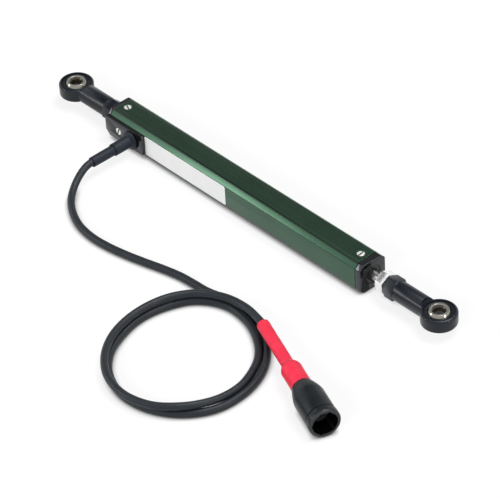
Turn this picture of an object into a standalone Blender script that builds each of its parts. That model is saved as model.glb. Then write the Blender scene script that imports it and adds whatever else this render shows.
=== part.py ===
"""A linear potentiometer: a square aluminium body with a sliding shaft, a rod end at each end,
and a side cable that ends in a round connector.

+X points from the fixed rod end to the shaft end, the cable leaves on the -Y side, +Z is up.
x = 0 is the middle of the body, z = 0 is its underside. The shaft is fully retracted.
"""

import math

import bmesh
import bpy
from mathutils import Matrix, Vector

MM = 0.001

# Fits
GAP = 0.3 * MM  # between pieces that touch

# Body extrusion
BODY_SIDE = 19.0 * MM
BODY_CHAMFER = 2.9 * MM
BODY_EDGE_RADIUS = 1.1 * MM
BODY_WALL = 2.0 * MM
AXIS_Z = BODY_SIDE / 2

# What stands in a row inside the body, from the rear face to the front face
REAR_FLANGE = 1.0 * MM
REAR_SPIGOT = 13.0 * MM
LEAD_SPACE = 13.2 * MM
CARRIAGE_LENGTH = 12.0 * MM
STROKE = 152.0 * MM
BUFFER_LENGTH = 2.2 * MM
FRONT_SPIGOT = 12.0 * MM
FRONT_FLANGE = 4.0 * MM

OVERALL = (REAR_FLANGE + REAR_SPIGOT + LEAD_SPACE + CARRIAGE_LENGTH + STROKE
           + BUFFER_LENGTH + 2 * GAP + FRONT_SPIGOT + FRONT_FLANGE)
REAR_FACE = -OVERALL / 2
FRONT_FACE = OVERALL / 2
BODY_REAR = REAR_FACE + REAR_FLANGE
BODY_FRONT = FRONT_FACE - FRONT_FLANGE
REAR_SPIGOT_END = BODY_REAR + REAR_SPIGOT
FRONT_SPIGOT_END = BODY_FRONT - FRONT_SPIGOT
CARRIAGE_REAR = REAR_SPIGOT_END + LEAD_SPACE
CARRIAGE_FRONT = CARRIAGE_REAR + CARRIAGE_LENGTH

# Resistive track board, held in two grooves of the body
BOARD_BOTTOM = 3.6 * MM
BOARD_THICKNESS = 1.2 * MM
GROOVE_DEPTH = 0.9 * MM
TRACK_RIB = 0.2 * MM
TRACK_WIDTH = 3.2 * MM
TRACK_SPACING = 6.4 * MM

# Shaft, carriage and wiper
SHAFT_RADIUS = 3.5 * MM
SHAFT_REACH = 7.0 * MM  # how far the full shaft stands out of the front face
JOURNAL_RADIUS = 2.3 * MM
CLIP_THICKNESS = 0.8 * MM
CLIP_RADIUS = 3.8 * MM
CLIP_GROOVE_RADIUS = 1.6 * MM
JOURNAL_TAIL = 1.2 * MM
WIPER_THICKNESS = 0.2 * MM
WIPER_DROP = 0.5 * MM
WIPER_WIDTH = 10.0 * MM
WIPER_SLOT = 0.5 * MM
CARRIAGE_CHAMFER = 1.6 * MM

# Bearing and seal in the front cap
BUSH_WALL = 0.8 * MM
BUSH_WEB = 0.6 * MM
SEAL_WALL = 1.8 * MM
SEAL_LENGTH = 3.0 * MM
BUFFER_WALL = 2.6 * MM

# Thread and nuts, size M6
THREAD_RADIUS = 3.0 * MM
NUT_FLATS = 11.9 * MM
NUT_TURN = math.radians(30)
FRONT_NUT_THICKNESS = 5.6 * MM
REAR_NUT_THICKNESS = 2.4 * MM
STUD_IN_CAP = 8.4 * MM

# Rod ends, both alike
ROD_HEAD_RADIUS = 10.4 * MM
ROD_HEAD_THICKNESS = 8.2 * MM
ROD_HEAD_EDGE = 1.2 * MM
ROD_NECK_RADIUS = 6.0 * MM
ROD_LENGTH = 37.2 * MM  # ball centre to the end of the hexagon
ROD_HEX_LENGTH = 7.4 * MM
ROD_HEX_FLATS = 12.1 * MM
ROD_HEX_TURN = math.radians(18.6)
ROD_SOCKET_DEPTH = 18.0 * MM
ROD_THREAD_GRIP = 13.0 * MM
BALL_RADIUS = 7.3 * MM
BALL_WIDTH = 9.7 * MM
BALL_BORE = 3.2 * MM
BALL_BORE_CHAMFER = 0.8 * MM
RACE_THICKNESS = 7.0 * MM
RACE_WALL = 0.75 * MM
FRONT_BALL_X = FRONT_FACE + SHAFT_REACH + GAP + FRONT_NUT_THICKNESS + 2 * GAP + ROD_LENGTH
REAR_BALL_X = REAR_FACE - 2 * GAP - REAR_NUT_THICKNESS - ROD_LENGTH

# Slotted countersunk screws
SCREW_RADIUS = 1.25 * MM
SCREW_HEAD_RADIUS = 2.1 * MM
SCREW_HEAD_CONE = 0.85 * MM
SCREW_SLOT = 0.6 * MM
SCREW_RECESS = 0.2 * MM
FRONT_SCREW_FROM_FACE = 9.0 * MM
REAR_SCREW_FROM_FACE = 7.0 * MM

# Cable exit plate on the side, and its screw
PLATE_LENGTH = 32.5 * MM
PLATE_HEIGHT = 12.9 * MM
PLATE_BOTTOM = 3.2 * MM
PLATE_THICKNESS = 2.0 * MM
PLATE_CORNER = 3.0 * MM
PLATE_SCREW_FROM_FACE = 11.0 * MM
PLATE_SCREW_DEPTH = 4.6 * MM
EXIT_FROM_FACE = 22.5 * MM

# Moulded gland and its sleeve, along -Y from the plate
GLAND_FLANGE_RADIUS = 5.75 * MM
GLAND_FLANGE_THICKNESS = 1.5 * MM
GLAND_NECK_RADIUS = 3.2 * MM
GLAND_BARREL_RADIUS = 3.75 * MM
GLAND_BARREL_LENGTH = 11.9 * MM
GLAND_SOCKET_DEPTH = 3.5 * MM
SLEEVE_WALL = 0.6 * MM
SLEEVE_LENGTH = 19.2 * MM
WINDOW_RADIUS = 4.0 * MM

# Cable and the wires inside it
CABLE_RADIUS = 2.2 * MM
CABLE_START = 15.0 * MM
CABLE_SPACING = 9.8 * MM
LEAD_RADIUS = 0.45 * MM
HEADER_LENGTH = 4.0 * MM
HEADER_HEIGHT = 2.5 * MM
HEADER_WIDTH = 12.0 * MM

# Connector: it lies on the floor, so its radius is its height
SHELL_RADIUS = 9.1 * MM
CONNECTOR_START = Vector((92.8 * MM, -70.2 * MM, SHELL_RADIUS))
CONNECTOR_TURN = math.radians(-21.1)
SHRINK_NARROW_LENGTH = 34.5 * MM
SHRINK_FLARE_LENGTH = 6.5 * MM
SHRINK_LENGTH = 55.4 * MM
SHRINK_NARROW_RADIUS = 3.6 * MM
SHRINK_WALL = 0.6 * MM
SHELL_TAIL_RADIUS = 5.0 * MM
SHELL_TAIL_LENGTH = 12.0 * MM
SHELL_SHOULDER_LENGTH = 9.5 * MM
SHELL_LENGTH = 31.2 * MM
MOUTH_RADIUS = 7.5 * MM
MOUTH_DEPTH = 10.9 * MM
MOUTH_EDGE = 0.5 * MM
KEYWAY_WIDTH = 1.6 * MM
KEYWAY_DEPTH = 0.6 * MM
INSERT_RADIUS = 5.2 * MM
INSERT_LENGTH = 12.0 * MM
INSERT_BEHIND_MOUTH = 8.9 * MM
CONTACT_RADIUS = 0.6 * MM
CONTACT_CIRCLE = 2.6 * MM
CONTACT_LENGTH = 9.0 * MM
CONTACT_COUNT = 3

# The cable's route on the floor. First the lead from the gland to the loop: x, y, z in millimetres.
LEAD_IN = [
    (-82.5, -15.0, 9.5), (-82.5, -28.0, 9.5), (-82.5, -44.0, 9.5), (-81.9, -48.6, 8.3),
    (-80.2, -54.4, 6.1), (-77.1, -60.5, 3.8), (-71.1, -67.5, 2.4), (-60.5, -74.5, 2.2),
    (-49.5, -78.7, 2.2), (-37.0, -80.3, 2.2), (-25.3, -79.6, 2.2), (-11.9, -77.3, 2.2),
    (0.8, -74.2, 2.2), (13.0, -70.9, 2.2), (24.0, -68.6, 2.2), (34.5, -67.7, 2.2),
    (44.0, -67.1, 2.2),
]
# Then a little over two turns about LOOP_CENTRE: angle in degrees, radius and height in millimetres.
LOOP_CENTRE = (74.9, -108.2)
LOOP = [
    (116, 48.4, 2.2), (104, 47.3, 2.2), (90, 45.3, 2.2), (70, 43.1, 2.2), (48, 42.1, 2.2),
    (24, 43.2, 2.2), (0, 45.2, 2.2), (-24, 48.2, 2.2), (-46, 48.9, 2.2), (-68, 48.4, 2.2),
    (-90, 47.1, 2.2), (-112, 44.7, 2.2), (-135, 41.9, 2.2), (-158, 39.7, 2.2),
    (178, 39.9, 2.2), (155, 40.9, 2.2), (133, 43.1, 2.2), (110, 42.6, 2.2), (86, 39.5, 2.2),
    (62, 37.5, 2.2), (40, 37.6, 2.3), (20, 38.4, 2.7), (0, 40.1, 3.6), (-18, 42.5, 4.8),
    (-33, 45.6, 6.1), (-47, 48.5, 6.95), (-64, 50.0, 6.8), (-84, 49.6, 6.5), (-104, 47.8, 6.5),
    (-124, 45.0, 6.65), (-146, 42.4, 6.7), (-168, 40.8, 6.8), (170, 41.0, 6.9),
    (150, 42.6, 6.85), (130, 43.8, 6.9), (110, 43.6, 6.95), (90, 42.4, 7.5), (76, 41.7, 8.3),
]
CABLE_IN_SHRINK = 9.0 * MM

# Facets round a full turn
FINE = 32
MEDIUM = 24
COARSE = 16


def clear_scene():
    for obj in list(bpy.data.objects):
        bpy.data.objects.remove(obj, do_unlink=True)


def new_collection(name):
    collection = bpy.data.collections.new(name)
    bpy.context.scene.collection.children.link(collection)
    return collection


clear_scene()
PARTS = new_collection("linear_potentiometer")
CUTTERS = new_collection("cutters")


def finish(name, colour, metallic, roughness):
    """A Principled material of one colour."""
    material = bpy.data.materials.new(name)
    material.use_nodes = True
    shader = material.node_tree.nodes["Principled BSDF"]
    shader.inputs["Base Color"].default_value = (*colour, 1.0)
    shader.inputs["Metallic"].default_value = metallic
    shader.inputs["Roughness"].default_value = roughness
    material.diffuse_color = (*colour, 1.0)
    return material


GREEN_ANODISE = ((0.030, 0.075, 0.048), 0.7, 0.35)
BLACK_ANODISE = ((0.028, 0.030, 0.033), 0.6, 0.40)
BLACK_PLASTIC = ((0.020, 0.021, 0.023), 0.0, 0.45)
BLACK_RUBBER = ((0.022, 0.024, 0.027), 0.0, 0.60)
BRIGHT_STEEL = ((0.62, 0.62, 0.60), 1.0, 0.22)
CHROME = ((0.72, 0.70, 0.66), 1.0, 0.12)
BRONZE = ((0.40, 0.24, 0.10), 1.0, 0.35)
WHITE_ACETAL = ((0.75, 0.75, 0.72), 0.0, 0.40)
BOARD_GREEN = ((0.05, 0.10, 0.06), 0.0, 0.50)
RED_SHRINK = ((0.80, 0.045, 0.080), 0.0, 0.45)
GOLD = ((0.80, 0.58, 0.22), 1.0, 0.25)


def as_part(obj, look):
    """Puts an object among the parts, with a material of its own."""
    colour, metallic, roughness = look
    PARTS.objects.link(obj)
    obj.data.materials.clear()
    obj.data.materials.append(finish(obj.name, colour, metallic, roughness))
    return obj


def as_cutter(obj):
    CUTTERS.objects.link(obj)
    obj.hide_render = True
    obj.display_type = "WIRE"
    return obj


def boolean(target, other, operation):
    modifier = target.modifiers.new(operation.lower(), "BOOLEAN")
    modifier.operation = operation
    modifier.object = other
    modifier.solver = "EXACT"
    return target


def cut(target, *cutters):
    for cutter in cutters:
        boolean(target, cutter, "DIFFERENCE")
    return target


ALONG_X = (0.0, math.pi / 2, 0.0)
ALONG_MINUS_Y = (math.pi / 2, 0.0, 0.0)
ALONG_CONNECTOR = (0.0, math.pi / 2, CONNECTOR_TURN)
SECTION_YZ = (math.pi / 2, 0.0, math.pi / 2)


def place(obj, location=(0.0, 0.0, 0.0), rotation=(0.0, 0.0, 0.0)):
    obj.location = location
    obj.rotation_euler = rotation
    return obj


def turned(name, profile, steps, ring=False):
    """A turned body about local Z from (radius, height) points that run down its outer side.

    A ring's profile closes on itself; any other starts and ends on the axis.
    """
    mesh = bpy.data.meshes.new(name)
    count = len(profile)
    edges = [(i, i + 1) for i in range(count - 1)]
    if ring:
        edges.append((count - 1, 0))
    mesh.from_pydata([(radius, 0.0, height) for radius, height in profile], edges, [])
    obj = bpy.data.objects.new(name, mesh)
    screw = obj.modifiers.new("turn", "SCREW")
    screw.axis = "Z"
    screw.steps = steps
    screw.render_steps = steps
    screw.use_merge_vertices = True
    screw.merge_threshold = 0.000001
    screw.use_smooth_shade = True
    return obj


def rod(name, radius, low, high, steps=COARSE):
    """A plain cylinder about local Z."""
    return turned(name, [(0.0, high), (radius, high), (radius, low), (0.0, low)], steps)


def tube(name, outer, inner, low, high, steps=MEDIUM):
    profile = [(outer, high), (outer, low), (inner, low), (inner, high)]
    return turned(name, profile, steps, ring=True)


def box(name, low, high):
    """A box between two corners."""
    mesh = bpy.data.meshes.new(name)
    shape = bmesh.new()
    bmesh.ops.create_cube(shape, size=1.0)
    size = [b - a for a, b in zip(low, high)]
    middle = [(a + b) / 2 for a, b in zip(low, high)]
    bmesh.ops.transform(shape, verts=shape.verts,
                        matrix=Matrix.Translation(middle) @ Matrix.Diagonal((*size, 1.0)))
    shape.to_mesh(mesh)
    shape.free()
    return bpy.data.objects.new(name, mesh)


def arc(centre, radius, start, end, segments):
    """Points on an arc, angles in radians."""
    step = (end - start) / segments
    return [(centre[0] + radius * math.cos(start + step * i),
             centre[1] + radius * math.sin(start + step * i)) for i in range(segments + 1)]


def octagon(side, chamfer, radius=0.0, segments=3):
    """The body's section about the origin: a square with cut corners, its eight edges rounded."""
    half = side / 2
    corners = []
    for turn in range(4):
        angle = turn * math.pi / 2
        for x, y in ((half, half - chamfer), (half - chamfer, half)):
            corners.append((x * math.cos(angle) - y * math.sin(angle),
                            x * math.sin(angle) + y * math.cos(angle)))
    if not radius:
        return corners
    points = []
    setback = radius * math.tan(math.pi / 8)
    for i, corner in enumerate(corners):
        corner = Vector(corner)
        before = (Vector(corners[i - 1]) - corner).normalized()
        centre = corner + before * setback
        normal = Vector((before.y, -before.x))
        centre += normal * radius
        start = math.atan2(-normal.y, -normal.x)
        points += arc(centre, radius, start, start + math.pi / 4, segments)
    return points


def prism(name, outlines, length):
    """A flat outline, with any holes, drawn out along local Z. Local Z = 0 is its middle."""
    curve = bpy.data.curves.new(name, "CURVE")
    curve.dimensions = "2D"
    curve.fill_mode = "BOTH"
    curve.extrude = length / 2
    for outline in outlines:
        spline = curve.splines.new("POLY")
        spline.points.add(len(outline) - 1)
        for point, (x, y) in zip(spline.points, outline):
            point.co = (x, y, 0.0, 1.0)
        spline.use_cyclic_u = True
    return meshed(bpy.data.objects.new(name, curve))


def meshed(curve_object):
    """A curve object as a closed mesh object at the same place."""
    bpy.context.scene.collection.objects.link(curve_object)
    bpy.context.view_layer.update()
    graph = bpy.context.evaluated_depsgraph_get()
    mesh = bpy.data.meshes.new_from_object(curve_object.evaluated_get(graph))
    shape = bmesh.new()
    shape.from_mesh(mesh)
    bmesh.ops.remove_doubles(shape, verts=shape.verts, dist=0.000001)
    bmesh.ops.recalc_face_normals(shape, faces=shape.faces)
    shape.to_mesh(mesh)
    shape.free()
    name = curve_object.name
    matrix = curve_object.matrix_world.copy()
    curve = curve_object.data
    bpy.data.objects.remove(curve_object, do_unlink=True)
    bpy.data.curves.remove(curve)
    obj = bpy.data.objects.new(name, mesh)
    obj.matrix_world = matrix
    return obj


def hexagon(name, flats, low, high, crown, turn):
    """A hexagonal bar about local Z, its corners turned down at both ends."""
    corner = flats / math.sqrt(3)
    mesh = bpy.data.meshes.new(name)
    shape = bmesh.new()
    bmesh.ops.create_cone(shape, cap_ends=True, segments=6, radius1=corner, radius2=corner,
                          depth=high - low)
    bmesh.ops.translate(shape, verts=shape.verts, vec=(0.0, 0.0, (high + low) / 2))
    bmesh.ops.rotate(shape, verts=shape.verts, cent=(0.0, 0.0, 0.0),
                     matrix=Matrix.Rotation(turn, 3, "Z"))
    shape.to_mesh(mesh)
    shape.free()
    bar = bpy.data.objects.new(name, mesh)
    face = flats / 2 - crown
    past = corner + crown
    drop = (past - face) * math.tan(math.radians(30))
    envelope = turned(name + "_crown", [
        (0.0, high), (face, high), (past, high - drop), (past, low + drop),
        (face, low), (0.0, low)], FINE)
    envelope.data.transform(Matrix.Rotation(math.radians(4), 4, "Z"))
    return bar, envelope


def smooth_path(points, spacing):
    """Evenly spaced points on the centripetal Catmull-Rom curve through the given points."""
    points = [Vector(p) for p in points]
    ends = [2 * points[0] - points[1]] + points + [2 * points[-1] - points[-2]]
    dense = []
    for p0, p1, p2, p3 in zip(ends, ends[1:], ends[2:], ends[3:]):
        t1 = math.sqrt((p1 - p0).length)
        t2 = t1 + math.sqrt((p2 - p1).length)
        t3 = t2 + math.sqrt((p3 - p2).length)
        for step in range(24):
            t = t1 + (t2 - t1) * step / 24
            a1 = p0.lerp(p1, t / t1)
            a2 = p1.lerp(p2, (t - t1) / (t2 - t1))
            a3 = p2.lerp(p3, (t - t2) / (t3 - t2))
            b1 = a1.lerp(a2, t / t2)
            b2 = a2.lerp(a3, (t - t1) / (t3 - t1))
            dense.append(b1.lerp(b2, (t - t1) / (t2 - t1)))
    dense.append(points[-1])
    reach = [0.0]
    for a, b in zip(dense, dense[1:]):
        reach.append(reach[-1] + (b - a).length)
    count = max(2, round(reach[-1] / spacing))
    path = []
    index = 0
    for step in range(count + 1):
        target = reach[-1] * step / count
        while index < len(reach) - 2 and reach[index + 1] < target:
            index += 1
        share = (target - reach[index]) / (reach[index + 1] - reach[index])
        path.append(dense[index].lerp(dense[index + 1], share))
    return path


def wire(name, path, radius, sides_setting):
    """A round wire: a POLY curve with a bevel and filled caps."""
    curve = bpy.data.curves.new(name, "CURVE")
    curve.dimensions = "3D"
    curve.bevel_depth = radius
    curve.bevel_resolution = sides_setting
    curve.use_fill_caps = True
    spline = curve.splines.new("POLY")
    spline.points.add(len(path) - 1)
    for point, place_at in zip(spline.points, path):
        point.co = (*place_at, 1.0)
    return bpy.data.objects.new(name, curve)


def shade_round(obj):
    obj.data.shade_smooth()
    obj.data.set_sharp_from_angle(angle=math.radians(32))


# Body and caps

CAVITY_SIDE = BODY_SIDE - 2 * BODY_WALL
CAVITY_CHAMFER = BODY_CHAMFER - BODY_WALL * (2 - math.sqrt(2))
SPIGOT_SIDE = CAVITY_SIDE - 2 * GAP
SPIGOT_CHAMFER = CAVITY_CHAMFER - GAP * (2 - math.sqrt(2))
BUSH_RADIUS = SHAFT_RADIUS + GAP + BUSH_WALL
SCREW_HOLE_END = AXIS_Z + BUSH_RADIUS + 2 * GAP
FRONT_SCREW_X = FRONT_FACE - FRONT_SCREW_FROM_FACE
REAR_SCREW_X = REAR_FACE + REAR_SCREW_FROM_FACE
PLATE_SCREW_X = REAR_FACE + PLATE_SCREW_FROM_FACE
EXIT_X = REAR_FACE + EXIT_FROM_FACE


def cavity_outline():
    """The hollow's section: an octagon with a groove for the board in each side wall."""
    half = CAVITY_SIDE / 2
    low = BOARD_BOTTOM - GAP - AXIS_Z
    high = BOARD_BOTTOM + BOARD_THICKNESS + GAP - AXIS_Z
    lower_chamfer_top = -half + CAVITY_CHAMFER
    inner_at_low = min(half, half - (lower_chamfer_top - low))
    side = [(half - CAVITY_CHAMFER, -half), (inner_at_low, low), (half + GROOVE_DEPTH, low),
            (half + GROOVE_DEPTH, high), (half, high), (half, half - CAVITY_CHAMFER),
            (half - CAVITY_CHAMFER, half)]
    return side + [(-x, y) for x, y in reversed(side)]


def screw_hole(name, x, up):
    """A countersunk hole through the wall and on into the cap, from the top or the underside."""
    radius = SCREW_RADIUS + GAP
    mouth = SCREW_HEAD_RADIUS + GAP
    depth = BODY_SIDE - SCREW_HOLE_END
    profile = [(0.0, GAP), (mouth, GAP), (mouth, -SCREW_RECESS),
               (radius, -SCREW_RECESS - (mouth - radius)), (radius, -depth), (0.0, -depth)]
    hole = turned(name, profile, COARSE)
    if up:
        place(hole, (x, 0.0, BODY_SIDE))
    else:
        place(hole, (x, 0.0, 0.0), (math.pi, 0.0, 0.0))
    return as_cutter(hole)


def plate_screw_hole():
    """The plate screw's countersunk hole, through the plate and the wall into the rear cap."""
    radius = SCREW_RADIUS + GAP
    mouth = SCREW_HEAD_RADIUS + GAP
    outside = BODY_SIDE / 2 + GAP + PLATE_THICKNESS
    cone = outside - SCREW_RECESS - (mouth - radius)
    profile = [(0.0, outside + GAP), (mouth, outside + GAP), (mouth, outside - SCREW_RECESS),
               (radius, cone), (radius, PLATE_SCREW_DEPTH - GAP), (0.0, PLATE_SCREW_DEPTH - GAP)]
    hole = turned("plate_screw_hole", profile, COARSE)
    return as_cutter(place(hole, (PLATE_SCREW_X, 0.0, AXIS_Z), ALONG_MINUS_Y))


def body_and_caps():
    holes = {
        "front_top": screw_hole("front_top_screw_hole", FRONT_SCREW_X, True),
        "front_bottom": screw_hole("front_bottom_screw_hole", FRONT_SCREW_X, False),
        "rear_top": screw_hole("rear_top_screw_hole", REAR_SCREW_X, True),
        "rear_bottom": screw_hole("rear_bottom_screw_hole", REAR_SCREW_X, False),
    }
    side_hole = plate_screw_hole()
    window = rod("cable_window", WINDOW_RADIUS, CAVITY_SIDE / 4, BODY_SIDE / 2 + GAP, MEDIUM)
    as_cutter(place(window, (EXIT_X, 0.0, AXIS_Z), ALONG_MINUS_Y))

    section = octagon(BODY_SIDE, BODY_CHAMFER, BODY_EDGE_RADIUS)
    body = prism("body_extrusion", [section, cavity_outline()], BODY_FRONT - BODY_REAR - 2 * GAP)
    place(body, ((BODY_FRONT + BODY_REAR) / 2, 0.0, AXIS_Z), SECTION_YZ)
    as_part(body, GREEN_ANODISE)
    cut(body, *holes.values(), side_hole, window)
    shade_round(body)

    for name, flange, spigot_end, face in (
            ("front_end_cap", BODY_FRONT, FRONT_SPIGOT_END, FRONT_FACE),
            ("rear_end_cap", BODY_REAR, REAR_SPIGOT_END, REAR_FACE)):
        cap = prism(name, [section], abs(face - flange))
        place(cap, ((face + flange) / 2, 0.0, AXIS_Z), SECTION_YZ)
        as_part(cap, BLACK_ANODISE)
        inside = flange + math.copysign(min(abs(face - flange) / 2, 0.5 * MM), face)
        spigot = prism(name + "_spigot", [octagon(SPIGOT_SIDE, SPIGOT_CHAMFER)],
                       abs(inside - spigot_end))
        as_cutter(place(spigot, ((inside + spigot_end) / 2, 0.0, AXIS_Z), SECTION_YZ))
        boolean(cap, spigot, "UNION")
        if face > 0:
            cut(cap, shaft_bore(), holes["front_top"], holes["front_bottom"])
        else:
            cut(cap, stud_bore(), holes["rear_top"], holes["rear_bottom"], side_hole)
        shade_round(cap)


def shaft_bore():
    """The front cap's bore: a seat for the bush, a web, and the seal's pocket at the face."""
    bush = BUSH_RADIUS + GAP
    shaft = SHAFT_RADIUS + GAP
    seal = shaft + SEAL_WALL + GAP
    web = BODY_FRONT - BUSH_WEB / 2
    profile = [(0.0, FRONT_FACE + GAP), (seal, FRONT_FACE + GAP), (seal, web + BUSH_WEB),
               (shaft, web + BUSH_WEB), (shaft, web), (bush, web),
               (bush, FRONT_SPIGOT_END - GAP), (0.0, FRONT_SPIGOT_END - GAP)]
    bore = turned("shaft_bore", profile, MEDIUM)
    return as_cutter(place(bore, (0.0, 0.0, AXIS_Z), ALONG_X))


def stud_bore():
    bore = rod("stud_bore", THREAD_RADIUS + GAP, REAR_FACE - GAP, REAR_FACE + STUD_IN_CAP + GAP,
               MEDIUM)
    return as_cutter(place(bore, (0.0, 0.0, AXIS_Z), ALONG_X))


def bearing_and_seal():
    web = BODY_FRONT - BUSH_WEB / 2
    bush = tube("shaft_bush", BUSH_RADIUS, SHAFT_RADIUS + GAP, FRONT_SPIGOT_END + GAP, web - GAP)
    as_part(place(bush, (0.0, 0.0, AXIS_Z), ALONG_X), BRONZE)

    inner = SHAFT_RADIUS + GAP
    outer = inner + SEAL_WALL
    low = web + BUSH_WEB + GAP
    high = low + SEAL_LENGTH
    lip = SEAL_LENGTH * 0.4
    profile = [(inner + SEAL_WALL * 0.35, high), (outer, high - lip / 2), (outer, low),
               (inner + SEAL_WALL * 0.5, low), (inner + SEAL_WALL * 0.5, high - 2 * lip),
               (inner, high - lip)]
    seal = turned("shaft_wiper_seal", profile, MEDIUM, ring=True)
    as_part(place(seal, (0.0, 0.0, AXIS_Z), ALONG_X), BLACK_RUBBER)

    low = CARRIAGE_FRONT + STROKE + GAP
    buffer_radius = min(inner + BUFFER_WALL, SPIGOT_SIDE / 2)
    ring = tube("front_stop_buffer", buffer_radius, inner, low, low + BUFFER_LENGTH)
    as_part(place(ring, (0.0, 0.0, AXIS_Z), ALONG_X), BLACK_RUBBER)

    half = SPIGOT_SIDE / 2
    foot = AXIS_Z + CLIP_RADIUS + GAP
    rear = box("rear_stop_buffer", (REAR_SPIGOT_END + GAP, -half * 0.6, foot),
               (CARRIAGE_REAR - GAP, half * 0.6, AXIS_Z + half))
    as_part(rear, BLACK_RUBBER)
    bevel(rear, 0.4 * MM)


def bevel(obj, width, segments=1, angle=50):
    modifier = obj.modifiers.new("edges", "BEVEL")
    modifier.width = width
    modifier.segments = segments
    modifier.limit_method = "ANGLE"
    modifier.angle_limit = math.radians(angle)


# Track board, header and wires

BOARD_TOP = BOARD_BOTTOM + BOARD_THICKNESS
TRACK_TOP = BOARD_TOP + TRACK_RIB


def board_and_header():
    half = CAVITY_SIDE / 2 + GROOVE_DEPTH - GAP
    outline = [(-half, BOARD_BOTTOM), (half, BOARD_BOTTOM), (half, BOARD_TOP)]
    for centre in (TRACK_SPACING / 2, -TRACK_SPACING / 2):
        outline += [(centre + TRACK_WIDTH / 2, BOARD_TOP), (centre + TRACK_WIDTH / 2, TRACK_TOP),
                    (centre - TRACK_WIDTH / 2, TRACK_TOP), (centre - TRACK_WIDTH / 2, BOARD_TOP)]
    outline.append((-half, BOARD_TOP))
    rear = REAR_SPIGOT_END + GAP
    front = CARRIAGE_FRONT + STROKE
    board = prism("resistive_track", [outline], front - rear)
    place(board, ((front + rear) / 2, 0.0, 0.0), SECTION_YZ)
    as_part(board, BOARD_GREEN)

    low = TRACK_TOP + GAP
    header = box("terminal_header", (rear + GAP, -HEADER_WIDTH / 2, low),
                 (rear + GAP + HEADER_LENGTH, HEADER_WIDTH / 2, low + HEADER_HEIGHT))
    as_part(header, WHITE_ACETAL)
    bevel(header, 0.3 * MM)
    return rear + GAP + HEADER_LENGTH, low + HEADER_HEIGHT / 2


def inner_wires(header_front, header_middle):
    """Three wires from the cable's stripped end, through the gland, to the header."""
    spread = 2.3 * LEAD_RADIUS
    end = header_front + GAP + LEAD_RADIUS / 4
    pitch = HEADER_WIDTH / 3.4
    inside = -CAVITY_SIDE / 2
    for name, dx, dz, middle, row in (
            ("supply_wire", -1.0, -0.5, [(-1.4, 0.8, -2.0)], -1),
            ("signal_wire", 0.0, 1.0, [(0.2, 2.6, 0.4), (-0.5, 5.8, -1.3)], 0),
            ("ground_wire", 1.0, -0.5, [(1.0, 1.6, -2.0), (0.9, 5.0, -3.0), (0.1, 8.8, -3.3)], 1)):
        start = (EXIT_X + dx * spread, -CABLE_START + GAP, AXIS_Z + dz * spread)
        neck = (start[0], inside - 0.8 * MM, start[2])
        turns = [(EXIT_X + x * MM, inside + y * MM, AXIS_Z + z * MM) for x, y, z in middle]
        final = (end, row * pitch, header_middle)
        before = (end + 1.2 * MM, row * pitch * 0.94, header_middle)
        path = smooth_path([start, neck, *turns, before, final], 1.3 * MM)
        as_part(wire(name, path, LEAD_RADIUS, 1), {
            "supply_wire": RED_SHRINK, "signal_wire": WHITE_ACETAL}.get(name, BLACK_PLASTIC))


# Carriage, wiper and shaft

CARRIAGE_BOTTOM = TRACK_TOP + GAP + WIPER_DROP + WIPER_THICKNESS + GAP


def carriage_and_wiper():
    half = SPIGOT_SIDE / 2
    low = CARRIAGE_BOTTOM - AXIS_Z
    relief = half * 0.7
    side = [(half, low), (half, low / 2), (half - 0.5 * MM, low / 2 + 0.5 * MM),
            (half - 0.5 * MM, half * 0.3), (half, half * 0.3 + 0.5 * MM),
            (half, half - CARRIAGE_CHAMFER), (half - CARRIAGE_CHAMFER, half),
            (relief, half), (relief - 0.6 * MM, half - 0.6 * MM)]
    outline = side + [(-x, y) for x, y in reversed(side)]
    middle = (CARRIAGE_REAR + CARRIAGE_FRONT) / 2
    carriage = prism("wiper_carriage", [outline], CARRIAGE_LENGTH)
    place(carriage, (middle, 0.0, AXIS_Z), SECTION_YZ)
    as_part(carriage, WHITE_ACETAL)
    bore = rod("journal_bore", JOURNAL_RADIUS + GAP, CARRIAGE_REAR - GAP, CARRIAGE_FRONT + GAP,
               MEDIUM)
    cut(carriage, as_cutter(place(bore, (0.0, 0.0, AXIS_Z), ALONG_X)))
    shade_round(carriage)

    rear = CARRIAGE_REAR + CARRIAGE_LENGTH * 0.15
    bend = CARRIAGE_REAR + CARRIAGE_LENGTH * 0.6
    tip = CARRIAGE_REAR + CARRIAGE_LENGTH * 0.92
    top = CARRIAGE_BOTTOM - GAP
    outline = [(rear, top - WIPER_THICKNESS), (bend, top - WIPER_THICKNESS),
               (tip - 0.8 * MM, top - WIPER_THICKNESS - WIPER_DROP),
               (tip, top - WIPER_THICKNESS - WIPER_DROP), (tip, top - WIPER_DROP),
               (tip - 0.8 * MM, top - WIPER_DROP), (bend, top), (rear, top)]
    wiper = prism("wiper_contacts", [outline], WIPER_WIDTH)
    as_part(place(wiper, rotation=ALONG_MINUS_Y), GOLD)
    for number in range(-2, 3):
        y = number * WIPER_WIDTH / 6
        slot = box("wiper_slot_%d" % (number + 3),
                   (bend, y - WIPER_SLOT / 2, top - WIPER_DROP - 1 * MM),
                   (tip + GAP, y + WIPER_SLOT / 2, top + GAP))
        cut(wiper, as_cutter(slot))


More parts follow.
